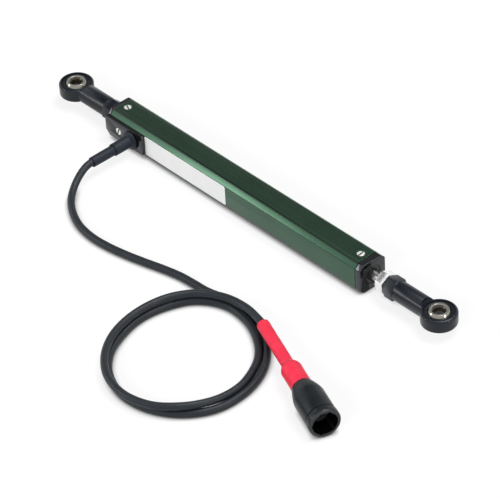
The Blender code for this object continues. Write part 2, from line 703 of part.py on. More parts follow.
def actuator_shaft():
    clip_front = CARRIAGE_REAR - GAP
    clip_rear = clip_front - CLIP_THICKNESS
    groove_rear = clip_rear - GAP
    shoulder = CARRIAGE_FRONT + GAP
    front = FRONT_FACE + SHAFT_REACH
    tip = FRONT_BALL_X - ROD_LENGTH + ROD_THREAD_GRIP
    chamfer = 0.5 * MM
    profile = [
        (0.0, tip), (THREAD_RADIUS - chamfer, tip), (THREAD_RADIUS, tip - chamfer),
        (THREAD_RADIUS, front), (SHAFT_RADIUS - chamfer / 2, front),
        (SHAFT_RADIUS, front - chamfer / 2), (SHAFT_RADIUS, shoulder),
        (JOURNAL_RADIUS, shoulder), (JOURNAL_RADIUS, clip_front + GAP),
        (CLIP_GROOVE_RADIUS, clip_front + GAP), (CLIP_GROOVE_RADIUS, groove_rear),
        (JOURNAL_RADIUS, groove_rear), (JOURNAL_RADIUS, groove_rear - JOURNAL_TAIL),
        (0.0, groove_rear - JOURNAL_TAIL)]
    shaft = turned("actuator_shaft", profile, MEDIUM)
    as_part(place(shaft, (0.0, 0.0, AXIS_Z), ALONG_X), BRIGHT_STEEL)

    inner = CLIP_GROOVE_RADIUS + GAP
    opening = math.radians(35)
    outline = arc((0.0, 0.0), CLIP_RADIUS, opening, 2 * math.pi - opening, 16)
    outline += reversed(arc((0.0, 0.0), inner, opening, 2 * math.pi - opening, 14))
    clip = prism("shaft_retaining_clip", [outline], CLIP_THICKNESS)
    place(clip, ((clip_front + clip_rear) / 2, 0.0, AXIS_Z), SECTION_YZ)
    as_part(clip, BRIGHT_STEEL)


# Nuts, stud and rod ends

def lock_nut(name, low, thickness, look):
    bar, envelope = hexagon(name, NUT_FLATS, low, low + thickness, GAP, NUT_TURN)
    place(envelope, (0.0, 0.0, AXIS_Z), ALONG_X)
    place(bar, (0.0, 0.0, AXIS_Z), ALONG_X)
    as_part(bar, look)
    boolean(bar, as_cutter(envelope), "INTERSECT")
    bore = rod(name + "_bore", THREAD_RADIUS + GAP, low - GAP, low + thickness + GAP, MEDIUM)
    cut(bar, as_cutter(place(bore, (0.0, 0.0, AXIS_Z), ALONG_X)))


def rear_stud():
    start = REAR_BALL_X + ROD_LENGTH - ROD_THREAD_GRIP
    end = REAR_FACE + STUD_IN_CAP
    chamfer = 0.5 * MM
    profile = [(0.0, end), (THREAD_RADIUS - chamfer, end), (THREAD_RADIUS, end - chamfer),
               (THREAD_RADIUS, start + chamfer), (THREAD_RADIUS - chamfer, start), (0.0, start)]
    stud = turned("rear_stud", profile, MEDIUM)
    as_part(place(stud, (0.0, 0.0, AXIS_Z), ALONG_X), BLACK_ANODISE)


def rod_end(side, ball_x, towards_body):
    """Housing, race and ball. Local Z of the neck runs from the ball centre to the body."""
    facing = ALONG_X if towards_body > 0 else (0.0, -math.pi / 2, 0.0)
    centre = (ball_x, 0.0, AXIS_Z)
    half = ROD_HEAD_THICKNESS / 2
    seat = BALL_RADIUS + GAP + RACE_WALL + GAP

    neck_end = ROD_LENGTH - ROD_HEX_LENGTH
    neck = rod(side + "_rod_end_housing", ROD_NECK_RADIUS, BALL_RADIUS, neck_end + 0.1 * MM, FINE)
    neck.data.transform(Matrix.Rotation(math.pi / FINE, 4, "Z"))
    as_part(place(neck, centre, facing), BLACK_ANODISE)
    flat = half - 0.05 * MM
    for part, low, high in (("upper", flat, half * 3), ("lower", -half * 3, -flat)):
        spot = rod("%s_%s_spot_face" % (side, part), ROD_HEAD_RADIUS + 0.2 * MM, low, high, FINE)
        cut(neck, as_cutter(place(spot, centre)))
    edge = arc((ROD_HEAD_RADIUS - ROD_HEAD_EDGE, half - ROD_HEAD_EDGE), ROD_HEAD_EDGE,
               math.pi / 2, 0.0, 2)
    profile = [(0.0, half)] + edge + [(r, -h) for r, h in reversed(edge)] + [(0.0, -half)]
    head = turned(side + "_rod_end_head", profile, FINE)
    boolean(neck, as_cutter(place(head, centre)), "UNION")
    bar, envelope = hexagon(side + "_rod_end_hexagon", ROD_HEX_FLATS, neck_end, ROD_LENGTH, GAP,
                            ROD_HEX_TURN)
    place(envelope, centre, facing)
    boolean(as_cutter(place(bar, centre, facing)), as_cutter(envelope), "INTERSECT")
    boolean(neck, bar, "UNION")
    eye = rod(side + "_race_seat", seat, -half - GAP, half + GAP, FINE)
    socket = rod(side + "_thread_socket", THREAD_RADIUS + GAP, ROD_LENGTH - ROD_SOCKET_DEPTH,
                 ROD_LENGTH + GAP, MEDIUM)
    cut(neck, as_cutter(place(eye, centre)), as_cutter(place(socket, centre, facing)))

    inner = BALL_RADIUS + GAP
    reach = math.asin(RACE_THICKNESS / 2 / inner)
    hollow = arc((0.0, 0.0), inner, -reach, reach, 6)
    profile = [(seat - GAP, RACE_THICKNESS / 2), (seat - GAP, -RACE_THICKNESS / 2)] + hollow
    race = turned(side + "_rod_end_race", profile, FINE, ring=True)
    as_part(place(race, centre), BLACK_ANODISE)

    reach = math.asin(BALL_WIDTH / 2 / BALL_RADIUS)
    lead = BALL_BORE_CHAMFER
    crown = arc((0.0, 0.0), BALL_RADIUS, reach, -reach, 8)
    profile = [(BALL_BORE + lead, BALL_WIDTH / 2)] + crown + [
        (BALL_BORE + lead, -BALL_WIDTH / 2), (BALL_BORE, -BALL_WIDTH / 2 + lead),
        (BALL_BORE, BALL_WIDTH / 2 - lead)]
    ball = turned(side + "_rod_end_ball", profile, FINE, ring=True)
    as_part(place(ball, centre), CHROME)


# Screws

def slotted_screw(name, head_height, tip_height, location, rotation, slot_turn):
    """A countersunk screw about local Z, its head up, with a straight slot."""
    top = head_height
    cone = top - SCREW_HEAD_CONE
    chamfer = 0.3 * MM
    profile = [(0.0, top), (SCREW_HEAD_RADIUS, top), (SCREW_RADIUS, cone),
               (SCREW_RADIUS, tip_height + chamfer), (SCREW_RADIUS - chamfer, tip_height),
               (0.0, tip_height)]
    screw = turned(name, profile, COARSE)
    as_part(place(screw, location, rotation), BRIGHT_STEEL)
    slot = box(name + "_slot",
               (-2 * SCREW_HEAD_RADIUS, -SCREW_SLOT / 2, top - SCREW_SLOT),
               (2 * SCREW_HEAD_RADIUS, SCREW_SLOT / 2, top + SCREW_SLOT))
    spin = Matrix.Rotation(slot_turn, 4, "Z")
    slot.data.transform(spin)
    cut(screw, as_cutter(place(slot, location, rotation)))


def screws():
    depth = BODY_SIDE - SCREW_HOLE_END - GAP
    for name, x, slot in (("front", FRONT_SCREW_X, -20), ("rear", REAR_SCREW_X, 75)):
        slotted_screw(name + "_top_cap_screw", -SCREW_RECESS, -depth,
                      (x, 0.0, BODY_SIDE), (0.0, 0.0, 0.0), math.radians(slot))
        slotted_screw(name + "_bottom_cap_screw", -SCREW_RECESS, -depth,
                      (x, 0.0, 0.0), (math.pi, 0.0, 0.0), math.radians(slot + 40))
    outside = BODY_SIDE / 2 + GAP + PLATE_THICKNESS
    slotted_screw("plate_screw", outside - SCREW_RECESS, PLATE_SCREW_DEPTH,
                  (PLATE_SCREW_X, 0.0, AXIS_Z), ALONG_MINUS_Y, math.radians(25))


# Cable exit

def exit_plate():
    left = REAR_FACE
    right = REAR_FACE + PLATE_LENGTH
    low = PLATE_BOTTOM
    high = PLATE_BOTTOM + PLATE_HEIGHT
    nick = 0.6 * MM
    outline = [(left + PLATE_CORNER, low), (right - nick, low), (right, low + nick),
               (right, high - nick), (right - nick, high), (left + nick, high),
               (left, high - nick), (left, low + PLATE_CORNER)]
    plate = prism("cable_exit_plate", [outline], PLATE_THICKNESS)
    place(plate, (0.0, -(BODY_SIDE / 2 + GAP + PLATE_THICKNESS / 2), 0.0), ALONG_MINUS_Y)
    as_part(plate, BLACK_ANODISE)
    outside = BODY_SIDE / 2 + GAP + PLATE_THICKNESS
    hole = rod("gland_hole", GLAND_NECK_RADIUS + GAP, BODY_SIDE / 2, outside + GAP, MEDIUM)
    as_cutter(place(hole, (EXIT_X, 0.0, AXIS_Z), ALONG_MINUS_Y))
    cut(plate, hole, bpy.data.objects["plate_screw_hole"])


def gland_and_sleeve():
    bore = CABLE_RADIUS + GAP
    inner_end = CAVITY_SIDE / 2 + 0.7 * MM
    flange = BODY_SIDE / 2 + 2 * GAP + PLATE_THICKNESS
    barrel = flange + GLAND_FLANGE_THICKNESS
    end = barrel + GLAND_BARREL_LENGTH
    socket = bore + SLEEVE_WALL + GAP
    rim = 0.4 * MM
    profile = [
        (socket, end), (GLAND_BARREL_RADIUS - rim * 0.6, end), (GLAND_BARREL_RADIUS, end - rim),
        (GLAND_BARREL_RADIUS, barrel + 2 * rim), (GLAND_BARREL_RADIUS + rim, barrel + rim / 2),
        (GLAND_FLANGE_RADIUS - rim, barrel), (GLAND_FLANGE_RADIUS, barrel - rim),
        (GLAND_FLANGE_RADIUS, flange), (GLAND_NECK_RADIUS, flange),
        (GLAND_NECK_RADIUS, inner_end), (bore, inner_end), (bore, end - GLAND_SOCKET_DEPTH),
        (socket, end - GLAND_SOCKET_DEPTH)]
    gland = turned("cable_gland", profile, MEDIUM, ring=True)
    as_part(place(gland, (EXIT_X, 0.0, AXIS_Z), ALONG_MINUS_Y), BLACK_RUBBER)

    low = end - GLAND_SOCKET_DEPTH + GAP
    sleeve = tube("gland_sleeve", bore + SLEEVE_WALL, bore, low, low + SLEEVE_LENGTH)
    as_part(place(sleeve, (EXIT_X, 0.0, AXIS_Z), ALONG_MINUS_Y), BLACK_RUBBER)


# Cable and connector

CONNECTOR_AXIS = Vector((math.cos(CONNECTOR_TURN), math.sin(CONNECTOR_TURN), 0.0))


def cable():
    points = [Vector(p) * MM for p in LEAD_IN]
    for angle, radius, height in LOOP:
        around = math.radians(angle)
        points.append(Vector((LOOP_CENTRE[0] + radius * math.cos(around),
                              LOOP_CENTRE[1] + radius * math.sin(around), height)) * MM)
    points.append(CONNECTOR_START - CONNECTOR_AXIS * 0.5 * MM)
    points.append(CONNECTOR_START + CONNECTOR_AXIS * CABLE_IN_SHRINK)
    as_part(wire("cable", smooth_path(points, CABLE_SPACING), CABLE_RADIUS, 3), BLACK_RUBBER)


def heat_shrink():
    bore = CABLE_RADIUS + GAP
    wide = SHELL_TAIL_RADIUS + GAP
    narrow = SHRINK_NARROW_LENGTH
    flare = SHRINK_FLARE_LENGTH
    tail_inner = SHRINK_NARROW_RADIUS - SHRINK_WALL
    profile = [(wide + SHRINK_WALL, SHRINK_LENGTH)]
    for share in (1.0, 0.75, 0.5, 0.25, 0.0):
        ease = share * share * (3 - 2 * share)
        radius = SHRINK_NARROW_RADIUS + (wide + SHRINK_WALL - SHRINK_NARROW_RADIUS) * ease
        profile.append((radius, narrow + flare * share))
    profile += [(SHRINK_NARROW_RADIUS, 0.0), (bore, 0.0), (bore, CABLE_IN_SHRINK * 1.6),
                (tail_inner, narrow)]
    for share in (0.25, 0.5, 0.75, 1.0):
        ease = share * share * (3 - 2 * share)
        profile.append((tail_inner + (wide - tail_inner) * ease, narrow + flare * share))
    profile.append((wide, SHRINK_LENGTH))
    sleeve = turned("heat_shrink_sleeve", profile, MEDIUM, ring=True)
    as_part(place(sleeve, CONNECTOR_START, ALONG_CONNECTOR), RED_SHRINK)


def connector():
    back = SHRINK_LENGTH + GAP
    mouth = back + SHELL_LENGTH
    tail = back - SHELL_TAIL_LENGTH
    shoulder_start = SHELL_TAIL_RADIUS + GAP + SHRINK_WALL + GAP
    insert_face = mouth - INSERT_BEHIND_MOUTH
    insert_back = insert_face - INSERT_LENGTH
    seat = INSERT_RADIUS + GAP
    bore = CABLE_RADIUS + GAP
    shoulder = []
    for share in (1.0, 0.75, 0.5, 0.25, 0.0):
        swell = (share + math.sin(share * math.pi / 2)) / 2
        radius = shoulder_start + (SHELL_RADIUS - shoulder_start) * swell
        shoulder.append((radius, back + SHELL_SHOULDER_LENGTH * share))
    collar = mouth - MOUTH_DEPTH / 2
    groove = 0.35 * MM
    profile = [
        (MOUTH_RADIUS + MOUTH_EDGE / 2, mouth), (SHELL_RADIUS - MOUTH_EDGE, mouth),
        (SHELL_RADIUS, mouth - MOUTH_EDGE), (SHELL_RADIUS, collar + groove),
        (SHELL_RADIUS - groove, collar), (SHELL_RADIUS, collar - groove)]
    profile += shoulder
    profile += [
        (SHELL_TAIL_RADIUS, back), (SHELL_TAIL_RADIUS, tail), (bore, tail),
        (bore, insert_back - GAP), (seat, insert_back - GAP), (seat, mouth - MOUTH_DEPTH),
        (MOUTH_RADIUS, mouth - MOUTH_DEPTH), (MOUTH_RADIUS, mouth - MOUTH_EDGE)]
    shell = turned("connector_shell", profile, FINE, ring=True)
    as_part(place(shell, CONNECTOR_START, ALONG_CONNECTOR), BLACK_PLASTIC)
    for number, angle in enumerate((20, 110, 165, 255, 310)):
        key = box("keyway_%d" % (number + 1),
                  (MOUTH_RADIUS - 1 * MM, -KEYWAY_WIDTH / 2, mouth - MOUTH_DEPTH + GAP),
                  (MOUTH_RADIUS + KEYWAY_DEPTH, KEYWAY_WIDTH / 2, mouth + GAP))
        key.data.transform(Matrix.Rotation(math.radians(angle), 4, "Z"))
        cut(shell, as_cutter(place(key, CONNECTOR_START, ALONG_CONNECTOR)))

    rim = 0.6 * MM
    profile = [(0.0, insert_face), (INSERT_RADIUS - rim, insert_face),
               (INSERT_RADIUS, insert_face - rim), (INSERT_RADIUS, insert_back),
               (0.0, insert_back)]
    insert = turned("connector_insert", profile, MEDIUM)
    as_part(place(insert, CONNECTOR_START, ALONG_CONNECTOR), BLACK_PLASTIC)
    bottom = insert_face - 1 * MM - CONTACT_LENGTH
    for number in range(CONTACT_COUNT):
        around = 2 * math.pi * number / CONTACT_COUNT
        shift = Matrix.Translation((CONTACT_CIRCLE * math.cos(around),
                                    CONTACT_CIRCLE * math.sin(around), 0.0))
        hole = rod("contact_hole_%d" % (number + 1), CONTACT_RADIUS + GAP, bottom - GAP,
                   insert_face + GAP)
        cut(insert, as_cutter(place_in_connector(hole, shift)))
        contact = tube("connector_contact_%d" % (number + 1), CONTACT_RADIUS, CONTACT_RADIUS / 2,
                       bottom, bottom + CONTACT_LENGTH, 12)
        as_part(place_in_connector(contact, shift), GOLD)


def place_in_connector(obj, shift):
    """Sets an object in the connector's own frame, moved aside by shift."""
    turn = Matrix.Rotation(CONNECTOR_TURN, 4, "Z") @ Matrix.Rotation(math.pi / 2, 4, "Y")
    obj.matrix_world = Matrix.Translation(CONNECTOR_START) @ turn @ shift
    return obj


def main():
    body_and_caps()
    bearing_and_seal()
    inner_wires(*board_and_header())
    carriage_and_wiper()
    actuator_shaft()
    lock_nut("front_lock_nut", FRONT_FACE + SHAFT_REACH + GAP, FRONT_NUT_THICKNESS, BRIGHT_STEEL)
    lock_nut("rear_lock_nut", REAR_FACE - GAP - REAR_NUT_THICKNESS, REAR_NUT_THICKNESS,
             BLACK_ANODISE)
    rear_stud()
    rod_end("front", FRONT_BALL_X, -1)
    rod_end("rear", REAR_BALL_X, 1)
    screws()
    exit_plate()
    gland_and_sleeve()
    cable()
    heat_shrink()
    connector()


main()
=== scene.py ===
import math

import bmesh
import bpy
from mathutils import Matrix, Vector

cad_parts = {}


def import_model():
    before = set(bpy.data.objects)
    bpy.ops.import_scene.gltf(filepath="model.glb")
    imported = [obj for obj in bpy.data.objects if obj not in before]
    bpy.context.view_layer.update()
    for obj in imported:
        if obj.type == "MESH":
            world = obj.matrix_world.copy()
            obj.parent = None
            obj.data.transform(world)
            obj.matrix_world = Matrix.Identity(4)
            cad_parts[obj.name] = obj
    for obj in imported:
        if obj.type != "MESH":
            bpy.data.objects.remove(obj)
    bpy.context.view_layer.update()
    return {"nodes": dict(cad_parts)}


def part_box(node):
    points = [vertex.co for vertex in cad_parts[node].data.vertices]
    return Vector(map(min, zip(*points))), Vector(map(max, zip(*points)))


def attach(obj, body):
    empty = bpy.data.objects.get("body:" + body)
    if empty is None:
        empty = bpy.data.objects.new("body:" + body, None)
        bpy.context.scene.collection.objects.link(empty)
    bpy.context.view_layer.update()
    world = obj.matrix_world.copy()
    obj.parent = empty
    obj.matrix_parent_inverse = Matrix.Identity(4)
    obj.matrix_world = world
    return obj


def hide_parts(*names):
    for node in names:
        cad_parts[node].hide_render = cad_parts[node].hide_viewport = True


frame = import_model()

MM = 0.001

# Sizes read from the solids, so that each piece here follows the part

BODY_LOW, BODY_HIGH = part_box("body_extrusion")
FRONT_CAP_LOW, FRONT_CAP_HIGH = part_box("front_end_cap")
REAR_CAP_LOW, REAR_CAP_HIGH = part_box("rear_end_cap")
AXIS_Z = (BODY_LOW.z + BODY_HIGH.z) / 2
BODY_SIDE = BODY_HIGH.z - BODY_LOW.z
FRONT_FACE = FRONT_CAP_HIGH.x
REAR_FACE = REAR_CAP_LOW.x
EXIT_X = REAR_FACE + 22.5 * MM  # where the cable leaves the side
FIT = 0.3 * MM
HERE = Matrix.Identity(4)
# Local Z along the body from its axis, local X down
ALONG_BODY = Matrix.Translation((0.0, 0.0, AXIS_Z)) @ Matrix.Rotation(math.pi / 2, 4, "Y")
SCREW_HOLE = 1.55 * MM

BODY_CHAMFER = 2.9 * MM
BODY_EDGE_RADIUS = 1.1 * MM

CONNECTOR_START = Vector((92.8, -70.2, 9.1)) * MM
CONNECTOR_TURN = math.radians(-21.1)
CONNECTOR_AXIS = Vector((math.cos(CONNECTOR_TURN), math.sin(CONNECTOR_TURN), 0.0))

SHRINK_LENGTH = 55.4 * MM
SHELL_BACK = SHRINK_LENGTH + FIT
SHELL_MOUTH = SHELL_BACK + 31.2 * MM

CABLE_DIAMETER = 4.4 * MM
CABLE_IN_SHRINK = 9.0 * MM
# The lead from the gland to the loop: x, y, z in metres
LEAD_IN = [
    (-0.0825, -0.0150, 0.0095), (-0.0825, -0.0280, 0.0095), (-0.0825, -0.0440, 0.0095),
    (-0.0819, -0.0486, 0.0083), (-0.0802, -0.0544, 0.0061), (-0.0771, -0.0605, 0.0038),
    (-0.0711, -0.0675, 0.0024), (-0.0605, -0.0745, 0.0022), (-0.0495, -0.0787, 0.0022),
    (-0.0370, -0.0803, 0.0022), (-0.0253, -0.0796, 0.0022), (-0.0119, -0.0773, 0.0022),
    (0.0008, -0.0742, 0.0022), (0.0130, -0.0709, 0.0022), (0.0240, -0.0686, 0.0022),
    (0.0345, -0.0677, 0.0022), (0.0440, -0.0671, 0.0022),
]
# A little over two turns about LOOP_CENTRE: angle in degrees, radius and height in metres
LOOP_CENTRE = (0.0749, -0.1082)
LOOP = [
    (116, 0.0484, 0.0022), (104, 0.0473, 0.0022), (90, 0.0453, 0.0022), (70, 0.0431, 0.0022),
    (48, 0.0421, 0.0022), (24, 0.0432, 0.0022), (0, 0.0452, 0.0022), (-24, 0.0482, 0.0022),
    (-46, 0.0489, 0.0022), (-68, 0.0484, 0.0022), (-90, 0.0471, 0.0022),
    (-112, 0.0447, 0.0022), (-135, 0.0419, 0.0022), (-158, 0.0397, 0.0022),
    (178, 0.0399, 0.0022), (155, 0.0409, 0.0022), (133, 0.0431, 0.0022),
    (110, 0.0426, 0.0022), (86, 0.0395, 0.0022), (62, 0.0375, 0.0022), (40, 0.0376, 0.0023),
    (20, 0.0384, 0.0027), (0, 0.0409, 0.0034), (-18, 0.0435, 0.0044), (-33, 0.0462, 0.0059),
    (-47, 0.0485, 0.00695), (-64, 0.0500, 0.0068), (-84, 0.0496, 0.0065),
    (-104, 0.0478, 0.0065), (-124, 0.0450, 0.00665), (-146, 0.0424, 0.0067),
    (-168, 0.0408, 0.0068), (170, 0.0410, 0.0069), (150, 0.0426, 0.00685),
    (130, 0.0438, 0.0069), (110, 0.0436, 0.00695), (90, 0.0424, 0.0075), (76, 0.0417, 0.0083),
]


def new_object(name, data):
    obj = bpy.data.objects.new(name, data)
    bpy.context.scene.collection.objects.link(obj)
    return obj


# Camera

def camera():
    """The photo's own viewpoint, with the slight roll that it was taken at."""
    right = Vector((0.67641, 0.73502, -0.04715))
    up = Vector((-0.43758, 0.45253, 0.77701))
    back = right.cross(up)
    data = bpy.data.cameras.new("photo_camera")
    data.sensor_width = 36.0
    data.lens = 224.55
    data.clip_start = 0.1
    data.clip_end = 30.0
    obj = new_object("photo_camera", data)
    turn = Matrix((right, up, back)).transposed().to_4x4()
    obj.matrix_world = Matrix.Translation((1.05913, -0.89975, 1.08772)) @ turn
    bpy.context.scene.camera = obj


# Materials

def maths(tree, operation, *values):
    """The output of a math node that is fed by sockets or plain numbers."""
    node = tree.nodes.new("ShaderNodeMath")
    node.operation = operation
    for socket, value in zip(node.inputs, values):
        if isinstance(value, float):
            socket.default_value = value
        else:
            tree.links.new(value, socket)
    return node.outputs[0]


class Look:
    """A Principled material whose colour, roughness and relief come from nodes."""

    def __init__(self, name, metallic=0.0, specular=0.5, coat=0.0, coat_roughness=0.2):
        self.material = bpy.data.materials.new(name)
        self.material.use_nodes = True
        self.nodes = self.material.node_tree.nodes
        self.links = self.material.node_tree.links
        self.shader = self.nodes["Principled BSDF"]
        self.shader.inputs["Metallic"].default_value = metallic
        self.shader.inputs["Specular IOR Level"].default_value = specular
        self.shader.inputs["Coat Weight"].default_value = coat
        self.shader.inputs["Coat Roughness"].default_value = coat_roughness
        self.place = self.nodes.new("ShaderNodeTexCoord").outputs["Object"]
        self.normal = None

    def stretched(self, scale):
        mapping = self.nodes.new("ShaderNodeMapping")
        mapping.inputs["Scale"].default_value = scale
        self.links.new(self.place, mapping.inputs["Vector"])
        return mapping.outputs["Vector"]

    def noise(self, scale, detail=4.0, stretch=None):
        node = self.nodes.new("ShaderNodeTexNoise")
        node.inputs["Scale"].default_value = scale
        node.inputs["Detail"].default_value = detail
        node.inputs["Roughness"].default_value = 0.55
        vector = self.stretched(stretch) if stretch else self.place
        self.links.new(vector, node.inputs["Vector"])
        return node.outputs["Fac"]

    def rings(self, spacing, direction="Z", distortion=0.3):
        """Fine turned lines, spacing apart: direction R is concentric about local Z."""
        node = self.nodes.new("ShaderNodeTexWave")
        node.wave_type = "RINGS" if direction == "R" else "BANDS"
        if direction == "R":
            node.rings_direction = "Z"
        else:
            node.bands_direction = direction
        node.inputs["Scale"].default_value = 0.314 / spacing
        node.inputs["Distortion"].default_value = distortion
        node.inputs["Detail"].default_value = 2.0
        self.links.new(self.place, node.inputs["Vector"])
        return node.outputs["Fac"]

    def remap(self, value, low, high, from_low=0.3, from_high=0.7):
        node = self.nodes.new("ShaderNodeMapRange")
        node.inputs["From Min"].default_value = from_low
        node.inputs["From Max"].default_value = from_high
        node.inputs["To Min"].default_value = low
        node.inputs["To Max"].default_value = high
        self.links.new(value, node.inputs["Value"])
        return node.outputs["Result"]

    def colour(self, value, dark, light):
        ramp = self.nodes.new("ShaderNodeValToRGB")
        ramp.color_ramp.elements[0].position = 0.35
        ramp.color_ramp.elements[0].color = (*dark, 1.0)
        ramp.color_ramp.elements[1].position = 0.65
        ramp.color_ramp.elements[1].color = (*light, 1.0)
        self.links.new(value, ramp.inputs["Fac"])
        self.links.new(ramp.outputs["Color"], self.shader.inputs["Base Color"])
        return self

    def from_axis(self):
        """Distance from the local Z axis."""
        flat = self.nodes.new("ShaderNodeVectorMath")
        flat.operation = "MULTIPLY"
        flat.inputs[1].default_value = (1.0, 1.0, 0.0)
        self.links.new(self.place, flat.inputs[0])
        length = self.nodes.new("ShaderNodeVectorMath")
        length.operation = "LENGTH"
        self.links.new(flat.outputs["Vector"], length.inputs[0])
        return length.outputs["Value"]

    def along(self, axis):
        """One coordinate of the piece's own frame."""
        split = self.nodes.new("ShaderNodeSeparateXYZ")
        self.links.new(self.place, split.inputs[0])
        return split.outputs[axis]

    def over(self, mask, shade):
        """Where the mask is 0 the base colour gives way to the shade."""
        mix = self.nodes.new("ShaderNodeMix")
        mix.data_type = "RGBA"
        socket = self.shader.inputs["Base Color"]
        self.links.new(socket.links[0].from_socket, mix.inputs["B"])
        mix.inputs["A"].default_value = (*shade, 1.0)
        self.links.new(mask, mix.inputs["Factor"])
        self.links.new(mix.outputs["Result"], socket)
        return self

    def roughness(self, value, low, high):
        self.links.new(self.remap(value, low, high), self.shader.inputs["Roughness"])
        return self

    def bump(self, value, depth, strength=1.0):
        node = self.nodes.new("ShaderNodeBump")
        node.inputs["Distance"].default_value = depth
        node.inputs["Strength"].default_value = strength
        self.links.new(value, node.inputs["Height"])
        if self.normal:
            self.links.new(self.normal, node.inputs["Normal"])
        self.normal = node.outputs["Normal"]
        self.links.new(self.normal, self.shader.inputs["Normal"])
        return self


def green_anodise():
    """Drawn aluminium, anodised green: faint lines along the extrusion under a satin film."""
    look = Look("green_anodised_aluminium", metallic=0.95, coat=0.5, coat_roughness=0.25)
    drawn = look.noise(900.0, 3.0, stretch=(1.0, 1.0, 0.02))
    cloud = look.noise(45.0, 4.0)
    look.colour(cloud, (0.026, 0.077, 0.043), (0.032, 0.089, 0.050))
    front_edge = BODY_SIDE / 2 - BODY_CHAMFER
    tree = look.material.node_tree
    # Painted reflection: a narrow band along the top edge of the front chamfer is painted dark, as
    # the reflection of a dark card would draw it.
    painted_dark_reflection = maths(tree, "COMPARE", look.along("Y"), -front_edge - 0.12 * MM, 0.60 * MM)
    upper = look.remap(look.along("X"), 1.0, 0.0, -8.2 * MM, -8.0 * MM)
    both = maths(tree, "MULTIPLY", painted_dark_reflection, upper)
    look.over(look.remap(both, 1.0, 0.0, 0.0, 1.0), (0.008, 0.026, 0.014))
    look.roughness(drawn, 0.24, 0.31)
    return look.bump(drawn, 0.003 * MM, 0.5).material


def black_anodise():
    look = Look("black_anodised_aluminium", metallic=0.9)
    grain = look.noise(2500.0, 3.0)
    look.colour(look.noise(60.0, 4.0), (0.046, 0.048, 0.051), (0.056, 0.058, 0.061))
    look.roughness(grain, 0.09, 0.15)
    return look.bump(grain, 0.001 * MM, 0.3).material


def black_oxide(name, lines):
    """Turned steel, blackened: faint tool lines show through the finish."""
    look = Look(name, specular=0.32)
    cut = look.rings(0.28 * MM, lines)
    wear = look.noise(90.0, 6.0)
    look.colour(wear, (0.003, 0.005, 0.009), (0.006, 0.009, 0.014))
    look.roughness(look.noise(800.0, 4.0), 0.22, 0.32)
    return look.bump(cut, 0.006 * MM, 0.5).material


def chrome():
    """Polished steel; the face ring round the bore is painted light as a highlight, the bore and
    its chamfer painted dark as shade.
    """
    look = Look("polished_bearing_steel", metallic=1.0)
    haze = look.noise(300.0, 4.0)
    look.colour(haze, (0.24, 0.23, 0.205), (0.29, 0.28, 0.25))
    # Painted highlight: the flat face ring round the bore is painted light.
    face = look.remap(look.from_axis(), 0.0, 1.0, 5.40 * MM, 5.60 * MM)
    look.over(face, (0.60, 0.58, 0.53))
    # Painted shade: the bore and its chamfer are painted near black and made non-metallic.
    bore = look.remap(look.from_axis(), 0.0, 1.0, 4.10 * MM, 4.36 * MM)
    look.over(bore, (0.034, 0.028, 0.016))
    look.links.new(bore, look.shader.inputs["Metallic"])
    look.roughness(haze, 0.07, 0.13)
    return look.bump(look.rings(0.12 * MM, "Z", 0.5), 0.0008 * MM, 0.3).material


def bright_steel(name, lines="Z", metallic=1.0, dark=(0.34, 0.34, 0.34),
                 light=(0.44, 0.44, 0.43), rough=(0.12, 0.20), slot=None):
    look = Look(name, metallic=metallic)
    cut = look.rings(0.16 * MM, lines, 0.6)
    look.colour(look.noise(250.0, 5.0), dark, light)
    # Painted shade: below the slot height the colour is painted near black, the shade in the
    # screw's slot.
    if slot:
        look.over(look.remap(look.along("Z"), 0.0, 1.0, slot - 0.08 * MM, slot), (0.02, 0.02, 0.02))
    look.roughness(look.noise(900.0, 3.0), *rough)
    return look.bump(cut, 0.0025 * MM, 0.4).material


def moulded_black(name, dark, light, rough_low, rough_high, grain_scale, depth):
    look = Look(name, specular=0.3)
    grain = look.noise(grain_scale, 4.0)
    look.colour(look.noise(110.0, 4.0), dark, light)
    look.roughness(grain, rough_low, rough_high)
    return look.bump(grain, depth, 0.7).material


def plug_plastic():
    """Moulded black, its rim painted lighter as a highlight and its inside painted near black as
    shade.
    """
    look = Look("moulded_plug_shell", specular=0.24)
    grain = look.noise(1800.0, 4.0)
    look.colour(look.noise(110.0, 4.0), (0.004, 0.006, 0.008), (0.007, 0.010, 0.012))
    # Painted highlight: a band at the mouth's rim is painted lighter.
    look.over(look.remap(look.along("Z"), 1.0, 0.0, SHELL_MOUTH - 0.8 * MM,
                         SHELL_MOUTH - 0.4 * MM), (0.034, 0.037, 0.040))
    # Painted shade: inside the mouth the colour is painted near black.
    look.over(look.remap(look.from_axis(), 0.0, 1.0, 7.0 * MM, 7.3 * MM), (0.001, 0.001, 0.001))
    look.roughness(grain, 0.30, 0.42)
    return look.bump(grain, 0.010 * MM, 0.6).material


def red_shrink():
    """Polyolefin heat shrink: satin, with soft waves where it has drawn in."""
    look = Look("red_heat_shrink", specular=0.35)
    waves = look.noise(240.0, 3.0, stretch=(1.0, 1.0, 0.35))
    look.colour(look.noise(160.0, 4.0), (0.74, 0.020, 0.055), (0.80, 0.030, 0.072))
    look.roughness(look.noise(700.0, 3.0), 0.42, 0.56)
    look.bump(waves, 0.10 * MM, 0.5)
    return look.bump(look.noise(3000.0, 2.0), 0.010 * MM, 0.6).material


def label_film():
    look = Look("white_label_film", specular=0.4)
    fibre = look.noise(1200.0, 4.0)
    look.colour(look.noise(70.0, 4.0), (0.88, 0.89, 0.88), (0.93, 0.94, 0.93))
    look.roughness(fibre, 0.34, 0.46)
    return look.bump(fibre, 0.006 * MM, 0.4).material


